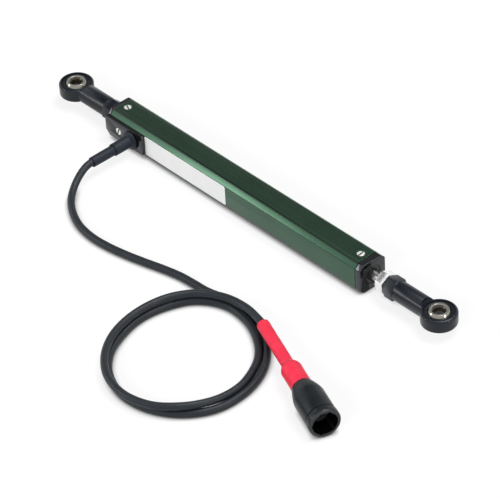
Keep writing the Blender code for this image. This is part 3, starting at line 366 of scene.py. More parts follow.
def plain(name, dark, light, metallic, rough_low, rough_high, grain=900.0, depth=0.004 * MM):
    """A finish for what is seen only inside or from below, still with its own grain."""
    look = Look(name, metallic=metallic)
    value = look.noise(grain, 4.0)
    look.colour(look.noise(130.0, 4.0), dark, light)
    look.roughness(value, rough_low, rough_high)
    return look.bump(value, depth, 0.6).material


# Mesh helpers

def add(name, mesh, material, body, replaces=(), matrix=None):
    """Shows a mesh as a piece that rides on a body and stands for some CAD nodes."""
    obj = new_object(name, mesh)
    if matrix is not None:
        obj.matrix_world = matrix
    obj.data.materials.clear()
    obj.data.materials.append(material)
    bpy.context.view_layer.update()
    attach(obj, body)
    if replaces:
        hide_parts(*replaces)
    return obj


def frame_at(point, direction=(0.0, 0.0, 1.0), spin=0.0):
    """A matrix whose local Z runs along direction from point."""
    turn = Vector(direction).to_track_quat("Z", "Y").to_matrix().to_4x4()
    return Matrix.Translation(point) @ turn @ Matrix.Rotation(spin, 4, "Z")


def rounded(profile, radii, segments=4):
    """The profile with each corner rounded off by its radius, 0 for a sharp one."""
    points = [Vector(p) for p in profile]
    count = len(points)
    out = []
    for i, corner in enumerate(points):
        radius = radii.get(i, 0.0) if isinstance(radii, dict) else radii
        before = points[i - 1] - corner
        after = points[(i + 1) % count] - corner
        if not radius or before.length < 1e-7 or after.length < 1e-7:
            out.append(tuple(corner))
            continue
        angle = before.angle(after)
        if angle > math.radians(178):
            out.append(tuple(corner))
            continue
        reach = radius / math.tan(angle / 2)
        reach = min(reach, before.length * 0.48, after.length * 0.48)
        radius = reach * math.tan(angle / 2)
        start = corner + before.normalized() * reach
        end = corner + after.normalized() * reach
        centre = corner + (before.normalized() + after.normalized()).normalized() * (
            radius / math.sin(angle / 2))
        first = start - centre
        last = end - centre
        for step in range(segments + 1):
            share = step / segments
            bend = first.lerp(last, share)
            out.append(tuple(centre + bend.normalized() * radius))
    return out


def lathe(name, profile, steps=96, closed=False):
    """A turned mesh about local Z. An open profile starts and ends on the axis."""
    mesh = bpy.data.meshes.new(name)
    verts = []
    rings = []
    for radius, height in profile:
        if radius < 1e-7:
            rings.append([len(verts)] * steps)
            verts.append((0.0, 0.0, height))
            continue
        rings.append(list(range(len(verts), len(verts) + steps)))
        for step in range(steps):
            turn = 2 * math.pi * step / steps
            verts.append((radius * math.cos(turn), radius * math.sin(turn), height))
    faces = []
    pairs = list(zip(rings, rings[1:]))
    if closed:
        pairs.append((rings[-1], rings[0]))
    for upper, lower in pairs:
        for step in range(steps):
            after = (step + 1) % steps
            face = [upper[step], lower[step], lower[after], upper[after]]
            face = [v for k, v in enumerate(face) if v != face[k - 1]]
            if len(face) > 2:
                faces.append(face)
    mesh.from_pydata(verts, [], faces)
    tidy(mesh)
    return mesh


def cylinder(radius, top, bottom, steps):
    return lathe("cylinder", [(0.0, top), (radius, top), (radius, bottom), (0.0, bottom)], steps)


def tidy(mesh, angle=32):
    """Welds, turns the faces outwards and shades the round parts smooth."""
    shape = bmesh.new()
    shape.from_mesh(mesh)
    bmesh.ops.remove_doubles(shape, verts=shape.verts, dist=1e-7)
    bmesh.ops.recalc_face_normals(shape, faces=shape.faces)
    shape.to_mesh(mesh)
    shape.free()
    mesh.shade_smooth()
    mesh.set_sharp_from_angle(angle=math.radians(angle))


def extrude(name, outline, low, high, edge=0.0):
    """A closed outline in local X and Y drawn from low to high, its end edges rounded."""
    mesh = bpy.data.meshes.new(name)
    count = len(outline)
    middle = Vector((sum(p[0] for p in outline), sum(p[1] for p in outline))) / count
    layers = [(low, edge)]
    if edge:
        for step in range(1, 4):
            turn = step * math.pi / 6
            layers.append((low + edge * (1 - math.cos(turn)), edge * (1 - math.sin(turn))))
        layers += [(low + high - z, inset) for z, inset in reversed(layers)]
    else:
        layers.append((high, 0.0))
    verts = []
    for z, inset in layers:
        for x, y in outline:
            offset = Vector((x, y)) - middle
            shrink = 1 - inset / max(offset.length, 1e-9)
            verts.append((middle.x + offset.x * shrink, middle.y + offset.y * shrink, z))
    faces = [list(range(count))[::-1], list(range(len(verts) - count, len(verts)))]
    for layer in range(len(layers) - 1):
        base = layer * count
        for i in range(count):
            after = (i + 1) % count
            faces.append([base + i, base + after, base + count + after, base + count + i])
    mesh.from_pydata(verts, [], faces)
    tidy(mesh)
    return mesh


def block(name, low, high):
    outline = [(low[0], low[1]), (high[0], low[1]), (high[0], high[1]), (low[0], high[1])]
    return extrude(name, outline, low[2], high[2])


def combined(name, mesh, steps, bevel=0.0, angle=32):
    """The mesh after a row of (operation, mesh, matrix) booleans, its sharp edges broken."""
    base = new_object(name, mesh)
    others = []
    for operation, other, matrix in steps:
        tool = new_object(name + "_tool", other)
        tool.matrix_world = matrix
        others.append(tool)
        modifier = base.modifiers.new("shape", "BOOLEAN")
        modifier.operation = operation
        modifier.object = tool
        modifier.solver = "EXACT"
    if bevel:
        modifier = base.modifiers.new("edges", "BEVEL")
        modifier.width = bevel
        modifier.segments = 2
        modifier.limit_method = "ANGLE"
        modifier.angle_limit = math.radians(angle)
        modifier.use_clamp_overlap = True
    bpy.context.view_layer.update()
    graph = bpy.context.evaluated_depsgraph_get()
    result = bpy.data.meshes.new_from_object(base.evaluated_get(graph))
    for obj in others + [base]:
        bpy.data.objects.remove(obj, do_unlink=True)
    tidy(result, angle)
    return result


def octagon(side, chamfer, radius):
    """The body's section about the origin."""
    half = side / 2
    corners = []
    for turn in range(4):
        angle = turn * math.pi / 2
        for x, y in ((half, half - chamfer), (half - chamfer, half)):
            corners.append((x * math.cos(angle) - y * math.sin(angle),
                            x * math.sin(angle) + y * math.cos(angle)))
    return rounded(corners, radius, 5)


def smooth_path(points, spacing):
    """Evenly spaced points on the centripetal Catmull-Rom curve through the given points."""
    points = [Vector(p) for p in points]
    ends = [2 * points[0] - points[1]] + points + [2 * points[-1] - points[-2]]
    samples = 24
    dense = []
    for p0, p1, p2, p3 in zip(ends, ends[1:], ends[2:], ends[3:]):
        t1 = math.sqrt((p1 - p0).length)
        t2 = t1 + math.sqrt((p2 - p1).length)
        t3 = t2 + math.sqrt((p3 - p2).length)
        for step in range(samples):
            t = t1 + (t2 - t1) * step / samples
            a1 = p0.lerp(p1, t / t1)
            a2 = p1.lerp(p2, (t - t1) / (t2 - t1))
            a3 = p2.lerp(p3, (t - t2) / (t3 - t2))
            b1 = a1.lerp(a2, t / t2)
            b2 = a2.lerp(a3, (t - t1) / (t3 - t1))
            dense.append(b1.lerp(b2, (t - t1) / (t2 - t1)))
    dense.append(points[-1])
    reach = [0.0]
    for a, b in zip(dense, dense[1:]):
        reach.append(reach[-1] + (b - a).length)
    count = max(2, round(reach[-1] / spacing))
    path = []
    index = 0
    for step in range(count + 1):
        target = reach[-1] * step / count
        while index < len(reach) - 2 and reach[index + 1] < target:
            index += 1
        share = (target - reach[index]) / (reach[index + 1] - reach[index])
        path.append(dense[index].lerp(dense[index + 1], share))
    return path, reach[-1]


# Cable

def cable_route():
    points = [Vector(p) for p in LEAD_IN]
    for angle, radius, height in LOOP:
        around = math.radians(angle)
        points.append(Vector((LOOP_CENTRE[0] + radius * math.cos(around),
                              LOOP_CENTRE[1] + radius * math.sin(around), height)))
    points.append(CONNECTOR_START - CONNECTOR_AXIS * 0.5 * MM)
    points.append(CONNECTOR_START + CONNECTOR_AXIS * CABLE_IN_SHRINK)
    return points


def cable(material):
    path, length = smooth_path(cable_route(), 2.2 * MM)
    curve = bpy.data.curves.new("signal_cable", "CURVE")
    curve.dimensions = "3D"
    curve.bevel_depth = CABLE_DIAMETER / 2
    curve.bevel_resolution = 6
    curve.use_fill_caps = True
    spline = curve.splines.new("POLY")
    spline.points.add(len(path) - 1)
    for point, co in zip(spline.points, path):
        point.co = (*co, 1.0)
    spline.use_smooth = True
    obj = add("signal_cable", curve, material, "base", ["cable"])


def connector_frame():
    return frame_at(CONNECTOR_START, CONNECTOR_AXIS)


def sleeve_and_plug(looks):
    """The red heat shrink, the black shell with its keyed mouth and the insert."""
    place = connector_frame()
    bore = CABLE_DIAMETER / 2 + 0.1 * MM
    narrow, wide = 3.6 * MM, 5.9 * MM
    flare_start, flare_end, end = 34.5 * MM, 41.0 * MM, SHRINK_LENGTH
    profile = [(narrow, 0.0)]
    for step in range(1, 16):
        s = flare_start * step / 16
        wobble = 0.05 * MM * math.sin(step * 1.9) + 0.03 * MM * math.sin(step * 0.7)
        profile.append((narrow + wobble, s))
    for step in range(13):
        share = step / 12
        ease = share * share * (3 - 2 * share)
        profile.append((narrow + (wide - narrow) * ease,
                        flare_start + (flare_end - flare_start) * share))
    for step in range(1, 7):
        s = flare_end + (end - flare_end) * step / 6
        profile.append((wide - 0.08 * MM * math.sin(step * 0.6), s))
    profile += [(wide - 0.5 * MM, end + 0.05 * MM), (5.15 * MM, end), (5.15 * MM, flare_end),
                (narrow - 0.7 * MM, flare_start), (bore, flare_start * 0.4), (bore, 0.0)]
    mesh = lathe("red_sleeve", rounded(profile, {0: 0.3 * MM}, 3), 72, closed=True)
    add("red_sleeve", mesh, looks["red"], "base", ["heat_shrink_sleeve"], place)

    back, mouth = SHELL_BACK, SHELL_MOUTH
    shell, hollow = 9.1 * MM, 7.0 * MM
    depth = 10.9 * MM
    band = mouth - 5.0 * MM
    profile = [(6.2 * MM, back)]
    for step in range(1, 13):
        share = step / 12
        swell = (share + math.sin(share * math.pi / 2)) / 2
        profile.append((6.2 * MM + (shell - 0.30 * MM - 6.2 * MM) * swell,
                        back + 0.3 * MM + 9.2 * MM * share))
    outer = [(shell - 0.30 * MM, band - 0.50 * MM), (shell - 0.95 * MM, band - 0.25 * MM),
             (shell - 0.95 * MM, band + 0.25 * MM), (shell, band + 0.55 * MM),
             (shell, mouth - 1.1 * MM), (shell - 0.45 * MM, mouth - 0.15 * MM),
             (shell - 0.9 * MM, mouth), (hollow + 0.1 * MM, mouth),
             (hollow, mouth - 0.5 * MM), (hollow, mouth - depth), (5.5 * MM, mouth - depth),
             (5.5 * MM, back + 9 * MM), (bore, back + 9 * MM), (bore, back - 12 * MM),
             (5.0 * MM, back - 12 * MM), (5.0 * MM, back)]
    start = len(profile)
    radii = {0: 0.5 * MM, start: 0.1 * MM, start + 1: 0.08 * MM, start + 2: 0.08 * MM,
             start + 3: 0.15 * MM, start + 4: 0.4 * MM, start + 5: 0.3 * MM,
             start + 6: 0.2 * MM, start + 7: 0.12 * MM, start + 8: 0.12 * MM}
    body = lathe("plug_shell", rounded(profile + outer, radii, 4), 112, closed=True)
    steps = []
    for angle in (68, 108, 180, 250, 310):
        key = block("keyway", (hollow - 1 * MM, -0.8 * MM, mouth - depth + FIT),
                    (hollow + 0.6 * MM, 0.8 * MM, mouth + FIT))
        steps.append(("DIFFERENCE", key, Matrix.Rotation(math.radians(angle), 4, "Z")))
    flat = block("index_flat", (shell - 0.36 * MM, -4 * MM, band + 0.3 * MM),
                 (shell + MM, 4 * MM, mouth + MM))
    steps.append(("DIFFERENCE", flat, Matrix.Rotation(math.radians(130), 4, "Z")))
    body = combined("plug_shell", body, steps)
    add("plug_shell", body, looks["shell"], "base", ["connector_shell"], place)

    face = mouth - 8.9 * MM
    profile = [(0.0, face), (3.6 * MM, face), (3.6 * MM, face + 0.5 * MM),
               (5.2 * MM, face + 0.5 * MM), (5.2 * MM, face - 12 * MM), (0.0, face - 12 * MM)]
    insert = lathe("plug_insert", rounded(profile, {1: 0.1 * MM, 2: 0.15 * MM, 3: 0.3 * MM}), 72)
    steps = []
    for number in range(3):
        around = 2 * math.pi * number / 3
        hole = cylinder(0.9 * MM, 3 * MM, -11 * MM, 32)
        shift = Matrix.Translation((2.6 * MM * math.cos(around), 2.6 * MM * math.sin(around),
                                    face))
        steps.append(("DIFFERENCE", hole, shift))
    insert = combined("plug_insert", insert, steps)
    add("plug_insert", insert, looks["insert"], "base", ["connector_insert"],
        place)


# Body, caps, plate and label

def countersink():
    """A cutter for a screw's cone and hole, through 3 mm of wall."""
    radius, mouth, wall = SCREW_HOLE, 2.58 * MM, 3 * MM
    profile = [(0.0, 2 * MM), (mouth, 2 * MM), (mouth, -0.05 * MM), (mouth - 0.15 * MM, -0.2 * MM),
               (radius, -0.2 * MM - (mouth - 0.15 * MM - radius)), (radius, -wall), (0.0, -wall)]
    return lathe("countersink", profile, 64)


def screw_places():
    places = []
    for x in (FRONT_FACE - 9.0 * MM, REAR_FACE + 7.0 * MM):
        places.append(frame_at((x, 0.0, BODY_HIGH.z)))
        places.append(frame_at((x, 0.0, BODY_LOW.z), (0.0, 0.0, -1.0)))
    return places


def body(looks):
    section = octagon(BODY_SIDE, BODY_CHAMFER, BODY_EDGE_RADIUS)
    solid = extrude("tube", section, BODY_LOW.x + 1.1 * MM, BODY_HIGH.x, 0.05 * MM)
    inner = octagon(BODY_SIDE - 4.0 * MM, BODY_CHAMFER - 1.17 * MM, 0.2 * MM)
    hollow = extrude("hollow", inner, BODY_LOW.x - 1 * MM, BODY_HIGH.x + 1 * MM)
    steps = [("DIFFERENCE", hollow, HERE)]
    back_to_local = ALONG_BODY.inverted()
    for place in screw_places():
        steps.append(("DIFFERENCE", countersink(),
                      back_to_local @ place))
    window = cylinder(4 * MM, 3 * MM, -4 * MM, 64)
    at_exit = frame_at((EXIT_X, BODY_LOW.y, AXIS_Z), (0.0, -1.0, 0.0))
    steps.append(("DIFFERENCE", window, back_to_local @ at_exit))
    mesh = combined("body_tube", solid, steps)
    add("body_tube", mesh, looks["green"], "base", ["body_extrusion"],
        ALONG_BODY)


def caps(looks):
    section = octagon(BODY_SIDE, BODY_CHAMFER, BODY_EDGE_RADIUS)
    spigot = octagon(BODY_SIDE - 4.6 * MM, BODY_CHAMFER - 1.35 * MM, 0.2 * MM)
    back_to_local = ALONG_BODY.inverted()
    for name, near, far, low, high, bores in (
            ("front_cap", FRONT_FACE - 4.0 * MM, FRONT_FACE, FRONT_CAP_LOW.x, FRONT_FACE - 3 * MM,
             ((3.8, -30.0, 5.0), (5.9, -3.5, 5.0), (4.9, -30.0, -4.6))),
            ("rear_cap", REAR_FACE, REAR_FACE + 2.1 * MM, REAR_FACE + 0.5 * MM,
             REAR_CAP_HIGH.x, ((3.3, -2.0, 8.7),))):
        flange = extrude(name, section, near, far, 0.22 * MM)
        plug = extrude("spigot", spigot, low, high)
        steps = [("UNION", plug, HERE)]
        face = FRONT_FACE if name == "front_cap" else REAR_FACE
        for radius, start, end in bores:
            hole = cylinder(radius * MM, end * MM, start * MM, 96)
            steps.append(("DIFFERENCE", hole, Matrix.Translation((0.0, 0.0, face))))
        for screw in screw_places():
            hole = cylinder(SCREW_HOLE, 2 * MM, -4.6 * MM, 48)
            steps.append(("DIFFERENCE", hole, back_to_local @ screw))
        mesh = combined(name, flange, steps)
        node = "front_end_cap" if name == "front_cap" else "rear_end_cap"
        add(name, mesh, looks["cap"], "base", [node], ALONG_BODY)


def slotted_screw(name, node, place, looks, slot_turn, tip):
    """A countersunk screw with a domed rim and a cut slot."""
    head = 2.25 * MM
    profile = [(0.0, -0.16 * MM), (head * 0.75, -0.17 * MM), (head, -0.24 * MM),
               (1.25 * MM, -1.2 * MM), (1.25 * MM, tip + 0.3 * MM), (0.95 * MM, tip),
               (0.0, tip)]
    mesh = lathe(name, rounded(profile, {1: 0.3 * MM, 2: 0.06 * MM, 3: 0.2 * MM}), 64)
    slot = block("slot", (-3 * MM, -0.42 * MM, -0.95 * MM), (3 * MM, 0.42 * MM, 1 * MM))
    mesh = combined(name, mesh, [("DIFFERENCE", slot, Matrix.Rotation(slot_turn, 4, "Z"))],
                    bevel=0.04 * MM)
    add(name, mesh, looks["screw"], "base", [node], place)


def screws(looks):
    nodes = ("front_top_cap_screw", "front_bottom_cap_screw", "rear_top_cap_screw",
             "rear_bottom_cap_screw")
    slots = (98, 20, -24, 115)
    for node, place, slot in zip(nodes, screw_places(), slots):
        slotted_screw("slotted_" + node, node, place, looks, math.radians(slot), -3.7 * MM)
    low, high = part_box("plate_screw")
    place = frame_at(((low.x + high.x) / 2, low.y - 0.2 * MM, AXIS_Z), (0.0, -1.0, 0.0))
    slotted_screw("slotted_plate_screw", "plate_screw", place, looks, math.radians(68),
                  low.y - high.y)


def exit_plate(looks):
    low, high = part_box("cable_exit_plate")
    corner = 3.0 * MM
    nick = 0.6 * MM
    outline = [(low.x + corner, low.z), (high.x - nick, low.z), (high.x, low.z + nick),
               (high.x, high.z - nick), (high.x - nick, high.z), (low.x + nick, high.z),
               (low.x, high.z - nick), (low.x, low.z + corner)]
    mesh = extrude("exit_plate", rounded(outline, 0.4 * MM, 3), -high.y, -low.y)
    upright = Matrix.Rotation(math.pi / 2, 4, "X")
    back_to_local = upright.inverted()
    screw_low, screw_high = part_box("plate_screw")
    screw = frame_at(((screw_low.x + screw_high.x) / 2, low.y, AXIS_Z), (0.0, -1.0, 0.0))
    gland = frame_at((EXIT_X, low.y, AXIS_Z), (0.0, -1.0, 0.0))
    hole = cylinder(3.5 * MM, 1 * MM, -3 * MM, 64)
    steps = [("DIFFERENCE", countersink(), back_to_local @ screw),
             ("DIFFERENCE", hole, back_to_local @ gland)]
    mesh = combined("exit_plate", mesh, steps, bevel=0.12 * MM)
    add("exit_plate", mesh, looks["cap"], "base", ["cable_exit_plate"], upright)


def gland(looks):
    low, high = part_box("cable_gland")
    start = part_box("cable_exit_plate")[0].y - FIT
    place = frame_at((EXIT_X, start, AXIS_Z), (0.0, -1.0, 0.0))
    end = start - low.y
    back = start - high.y
    profile = [(5.75 * MM, 0.0), (5.75 * MM, 1.0 * MM), (5.2 * MM, 1.5 * MM),
               (4.3 * MM, 1.8 * MM), (3.75 * MM, 2.6 * MM), (3.75 * MM, end),
               (3.35 * MM, end), (3.35 * MM, end - 3.4 * MM), (2.35 * MM, end - 3.6 * MM),
               (2.35 * MM, back), (3.2 * MM, back), (3.2 * MM, 0.0)]
    radii = {0: 0.15 * MM, 1: 0.3 * MM, 2: 0.4 * MM, 3: 0.5 * MM, 4: 0.6 * MM, 5: 0.3 * MM}
    mesh = lathe("gland_boot", rounded(profile, radii, 4), 80, closed=True)
    add("gland_boot", mesh, looks["boot"], "base", ["cable_gland"], place)

    low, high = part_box("gland_sleeve")
    near, far = start - high.y, start - low.y
    profile = [(3.1 * MM, near), (3.12 * MM, (near + far) / 2), (3.05 * MM, far),
               (2.3 * MM, far), (2.3 * MM, near)]
    mesh = lathe("cable_sleeve", rounded(profile, {2: 0.15 * MM, 3: 0.1 * MM}), 64, closed=True)
    add("cable_sleeve", mesh, looks["boot"], "base", ["gland_sleeve"], place)


def label(looks):
    """A bare white film on the front side, under the upper chamfer."""
    left, right = -73.0 * MM, -4.0 * MM
    low, high = 3.0 * MM, 16.0 * MM
    thickness = 0.12 * MM
    corner = 1.3 * MM
    outline = rounded([(left, low), (right, low), (right, high), (left, high)], corner, 6)
    mesh = extrude("label", outline, -BODY_LOW.y + 0.005 * MM, -BODY_LOW.y + thickness)
    add("label", mesh, looks["label"], "base", (), Matrix.Rotation(math.pi / 2, 4, "X"))


# Shaft, nuts and rod ends

def threaded(low, high):
    """Profile points of a 6 mm rod with V grooves one pitch apart."""
    radius, pitch, depth = 3.0 * MM, 1.0 * MM, 0.45 * MM
    points = []
    z = high
    while z - pitch > low:
        points += [(radius, z), (radius, z - pitch * 0.12),
                   (radius - depth, z - pitch * 0.5),
                   (radius, z - pitch * 0.88)]
        z -= pitch
    points.append((radius, low))
    return points


def shaft(looks):
    low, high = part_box("actuator_shaft")
    shoulder = FRONT_FACE + 7.0 * MM
    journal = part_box("wiper_carriage")[1].x + FIT
    clip_low, clip_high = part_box("shaft_retaining_clip")
    profile = [(0.0, high.x), (2.5 * MM, high.x)]
    profile += threaded(shoulder, high.x - 0.5 * MM)
    count = len(profile)
    profile += [(3.2 * MM, shoulder), (3.5 * MM, shoulder - 0.3 * MM), (3.5 * MM, journal),
                (2.3 * MM, journal), (2.3 * MM, clip_high.x + FIT), (1.6 * MM, clip_high.x + FIT),
                (1.6 * MM, clip_low.x - FIT), (2.3 * MM, clip_low.x - FIT), (2.3 * MM, low.x),
                (0.0, low.x)]
    mesh = lathe("shaft_rod", rounded(profile, {count + 1: 0.1 * MM}), 80)
    add("shaft_rod", mesh, looks["steel_bar"], "shaft", ["actuator_shaft"],
        ALONG_BODY)


def seal(looks):
    """The rod wiper: a dark ring nearly flush with the face, its lip on the shaft."""
    low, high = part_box("shaft_wiper_seal")
    profile = [(3.58 * MM, high.x - 0.1 * MM), (4.1 * MM, high.x + 0.12 * MM),
               (5.6 * MM, high.x + 0.12 * MM), (5.85 * MM, high.x + 0.05 * MM),
               (5.85 * MM, low.x), (4.6 * MM, low.x), (4.6 * MM, high.x - 1.6 * MM),
               (3.6 * MM, high.x - 0.5 * MM)]
    radii = {0: 0.05 * MM, 1: 0.2 * MM, 2: 0.2 * MM, 3: 0.15 * MM}
    mesh = lathe("rod_wiper", rounded(profile, radii, 3), 80, closed=True)
    add("rod_wiper", mesh, looks["wiper"], "base", ["shaft_wiper_seal"],
        ALONG_BODY)


def hexagon(name, flats, low, high, face, rotation=0.0):
    """A hexagonal bar with its corners turned down at both ends."""
    corner = flats / math.sqrt(3)
    outline = [(corner * math.cos(rotation + i * math.pi / 3),
                corner * math.sin(rotation + i * math.pi / 3)) for i in range(6)]
    bar = extrude(name, outline, low, high)
    past = corner + 0.4 * MM
    drop = (past - face) * math.tan(math.radians(30))
    crown = lathe("crown", [(0.0, high), (face, high), (past, high - drop), (past, low + drop),
                            (face, low), (0.0, low)], 96)
    turn = Matrix.Rotation(math.radians(1.3), 4, "Z")
    return combined(name, bar, [("INTERSECT", crown, turn)])


def lock_nut(name, node, looks, look, bodyname):
    low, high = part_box(node)
    bar = hexagon(name, 11.9 * MM, low.x, high.x, 5.7 * MM)
    bore = cylinder(3.15 * MM, high.x + MM, low.x - MM, 64)
    mesh = combined(name, bar, [("DIFFERENCE", bore, HERE)], bevel=0.10 * MM)
    add(name, mesh, looks[look], bodyname, [node], ALONG_BODY)


def stud(looks):
    low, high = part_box("rear_stud")
    profile = [(0.0, high.x), (2.5 * MM, high.x)]
    profile += threaded(low.x + 0.5 * MM, high.x - 0.5 * MM)
    profile += [(2.5 * MM, low.x), (0.0, low.x)]
    mesh = lathe("threaded_stud", profile, 64)
    add("threaded_stud", mesh, looks["oxide_bar"], "base", ["rear_stud"],
        ALONG_BODY)


def rod_end(side, towards_body, bodyname, ball_body, looks):
    """Housing, race and ball about the ball's centre. Local Z is the ball's bore."""
    low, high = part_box(side + "_rod_end_ball")
    centre = (low + high) / 2
    place = Matrix.Translation(centre)
    if towards_body < 0:
        place = place @ Matrix.Rotation(math.pi, 4, "Z")
    half = 4.1 * MM
    head_radius = 10.4 * MM
    to_body = Matrix.Rotation(math.pi / 2, 4, "Y")

    edge = 1.45 * MM
    profile = [(0.0, half), (head_radius, half), (head_radius, -half), (0.0, -half)]
    head = lathe("head", rounded(profile, {1: edge, 2: edge}, 10), 160)
    neck_radius = 6.0 * MM
    neck = lathe("neck", rounded([
        (0.0, 30.4 * MM), (neck_radius, 30.4 * MM), (neck_radius, 5.5 * MM),
        (0.0, 5.5 * MM)], {1: 0.5 * MM}), 112)
    spot = cylinder(head_radius + 0.35 * MM, 12 * MM, half - 0.06 * MM, 128)
    spin = Matrix.Rotation(math.radians(0.7), 4, "Z")
    neck = combined("neck", neck, [
        ("DIFFERENCE", spot, to_body.inverted() @ spin),
        ("DIFFERENCE", spot.copy(), to_body.inverted() @ spin @ Matrix.Rotation(
            math.pi, 4, "X"))])
    bar = hexagon("hexagon", 12.1 * MM, 30.0 * MM, 37.2 * MM, 5.8 * MM,
                  math.radians(-11.4))
    eye = cylinder(8.65 * MM, half + MM, -half - MM, 128)
    socket = cylinder(3.2 * MM, 38 * MM, 20 * MM, 64)
    mesh = combined(side + "_housing", head, [
        ("UNION", neck, to_body), ("UNION", bar, to_body), ("DIFFERENCE", eye, HERE),
        ("DIFFERENCE", socket, to_body)], bevel=0.14 * MM, angle=28)
    add(side + "_housing", mesh, looks["oxide"], bodyname, [side + "_rod_end_housing"],
        place)

    inner = 7.45 * MM
    reach = math.asin(3.4 * MM / inner)
    hollow = [(inner * math.cos(-reach + 2 * reach * i / 16),
               inner * math.sin(-reach + 2 * reach * i / 16)) for i in range(17)]
    profile = [(8.57 * MM, 3.6 * MM), (8.57 * MM, -3.6 * MM), (7.1 * MM, -3.55 * MM)]
    profile += hollow + [(7.1 * MM, 3.55 * MM)]
    race = lathe(side + "_race", rounded(profile, {0: 0.2 * MM, 1: 0.2 * MM}, 3), 128,
                 closed=True)
    add(side + "_race", race, looks["race"], bodyname, [side + "_rod_end_race"],
        place)

    radius, width = 7.3 * MM, 9.7 * MM
    bore, lead = 3.2 * MM, 1.15 * MM
    reach = math.asin(width / 2 / radius)
    crown = [(radius * math.cos(reach - 2 * reach * i / 40),
              radius * math.sin(reach - 2 * reach * i / 40)) for i in range(41)]
    profile = [(bore + lead, width / 2)] + crown
    profile += [(bore + lead, -width / 2), (bore, -width / 2 + lead), (bore, width / 2 - lead)]
    count = len(profile)
    radii = {0: 0.1 * MM, 1: 0.12 * MM, 41: 0.12 * MM, 42: 0.1 * MM, 43: 0.2 * MM,
             count - 1: 0.2 * MM}
    ball = lathe(side + "_ball", rounded(profile, radii, 3), 144, closed=True)
    add(side + "_ball", ball, looks["chrome"], ball_body, [side + "_rod_end_ball"],
        place)


# Light, floor and background

FLOOR_GLOW = 0.79
CONTACT_REACH = 4.0 * MM
SKY_LIGHT = 0.34


def seen_directly(tree):
    """1 for camera, glossy and transmission rays."""
    path = tree.nodes.new("ShaderNodeLightPath")
    total = path.outputs["Is Camera Ray"]
    for name in ("Is Glossy Ray", "Is Transmission Ray"):
        total = maths(tree, "MAXIMUM", total, path.outputs[name])
    return total


def floor():
    mesh = bpy.data.meshes.new("floor")
    reach = 6.0
    mesh.from_pydata([(-reach, -reach, 0), (reach, -reach, 0), (reach, reach, 0),
                      (-reach, reach, 0)], [], [(0, 1, 2, 3)])
    obj = new_object("floor", mesh)
    obj.location.z = -0.02 * MM
    material = bpy.data.materials.new("white_floor")
    material.use_nodes = True
    nodes, links = material.node_tree.nodes, material.node_tree.links
    nodes.clear()
    matte = nodes.new("ShaderNodeBsdfDiffuse")
    matte.inputs["Color"].default_value = (0.20, 0.20, 0.20, 1.0)
    # Painted contact shadow: the white glow is dimmed by ambient occlusion near the parts, darkest
    # in narrow gaps.
    contact = nodes.new("ShaderNodeAmbientOcclusion")
    contact.samples = 8
    contact.inputs["Distance"].default_value = CONTACT_REACH
    depth = nodes.new("ShaderNodeMapRange")
    links.new(contact.outputs["AO"], depth.inputs["Value"])
    depth.inputs["From Min"].default_value = 0.25
    depth.inputs["From Max"].default_value = 0.85
    glow = nodes.new("ShaderNodeEmission")
    glow.inputs["Color"].default_value = (1.0, 1.0, 1.0, 1.0)
    tree = material.node_tree
    strength = maths(tree, "MULTIPLY", seen_directly(tree), FLOOR_GLOW)
    shaded = maths(tree, "MULTIPLY", strength, depth.outputs[0])
    links.new(shaded, glow.inputs["Strength"])
    both = nodes.new("ShaderNodeAddShader")
    links.new(matte.outputs[0], both.inputs[0])
    links.new(glow.outputs[0], both.inputs[1])
    out = nodes.new("ShaderNodeOutputMaterial")
    links.new(both.outputs[0], out.inputs["Surface"])
    mesh.materials.append(material)


def world():
    """A soft white room: plain light on the part, full white where it is seen directly."""
    sky = bpy.data.worlds.new("studio")
    bpy.context.scene.world = sky
    sky.use_nodes = True
    nodes, links = sky.node_tree.nodes, sky.node_tree.links
    nodes.clear()
    room = nodes.new("ShaderNodeBackground")
    room.inputs["Color"].default_value = (1.0, 1.0, 1.0, 1.0)
    room.inputs["Strength"].default_value = SKY_LIGHT
    white = nodes.new("ShaderNodeBackground")
    white.inputs["Color"].default_value = (1.0, 1.0, 1.0, 1.0)
    white.inputs["Strength"].default_value = 1.0
    mix = nodes.new("ShaderNodeMixShader")
    links.new(seen_directly(sky.node_tree), mix.inputs["Fac"])
    links.new(room.outputs[0], mix.inputs[1])
    links.new(white.outputs[0], mix.inputs[2])
    out = nodes.new("ShaderNodeOutputWorld")
    links.new(mix.outputs[0], out.inputs["Surface"])


def area_light(name, direction, distance, size, power):
    light = bpy.data.lights.new(name, "AREA")
    light.shape = "RECTANGLE"
    light.size, light.size_y = size
    light.energy = power
    obj = new_object(name, light)
    direction = Vector(direction).normalized()
    obj.location = direction * distance
    obj.rotation_euler = direction.to_track_quat("Z", "Y").to_euler()
    return obj


def facing(direction, distance, size):
    """The corners of a rectangle that faces the origin from a direction."""
    direction = Vector(direction).normalized()
    turn = direction.to_track_quat("Z", "Y")
    x, y = size[0] / 2, size[1] / 2
    return [turn @ Vector(corner) + direction * distance
            for corner in ((-x, -y, 0), (x, -y, 0), (x, y, 0), (-x, y, 0))]


def dark_card(name, corners, level):
    """A grey card that only reflections see: studio cards that draw dark edges on metal, and a
    painted shadow laid on the floor.
    """
    mesh = bpy.data.meshes.new(name)
    mesh.from_pydata(corners, [], [(0, 1, 2, 3)])
    obj = new_object(name, mesh)
    material = bpy.data.materials.new(name)
    material.use_nodes = True
    nodes = material.node_tree.nodes
    nodes.clear()
    matte = nodes.new("ShaderNodeEmission")
    matte.inputs["Color"].default_value = (level, level, level, 1.0)
    out = nodes.new("ShaderNodeOutputMaterial")
    material.node_tree.links.new(matte.outputs[0], out.inputs["Surface"])
    mesh.materials.append(material)
    obj.visible_camera = False
    obj.visible_diffuse = False
    obj.visible_shadow = False
    obj.visible_transmission = False


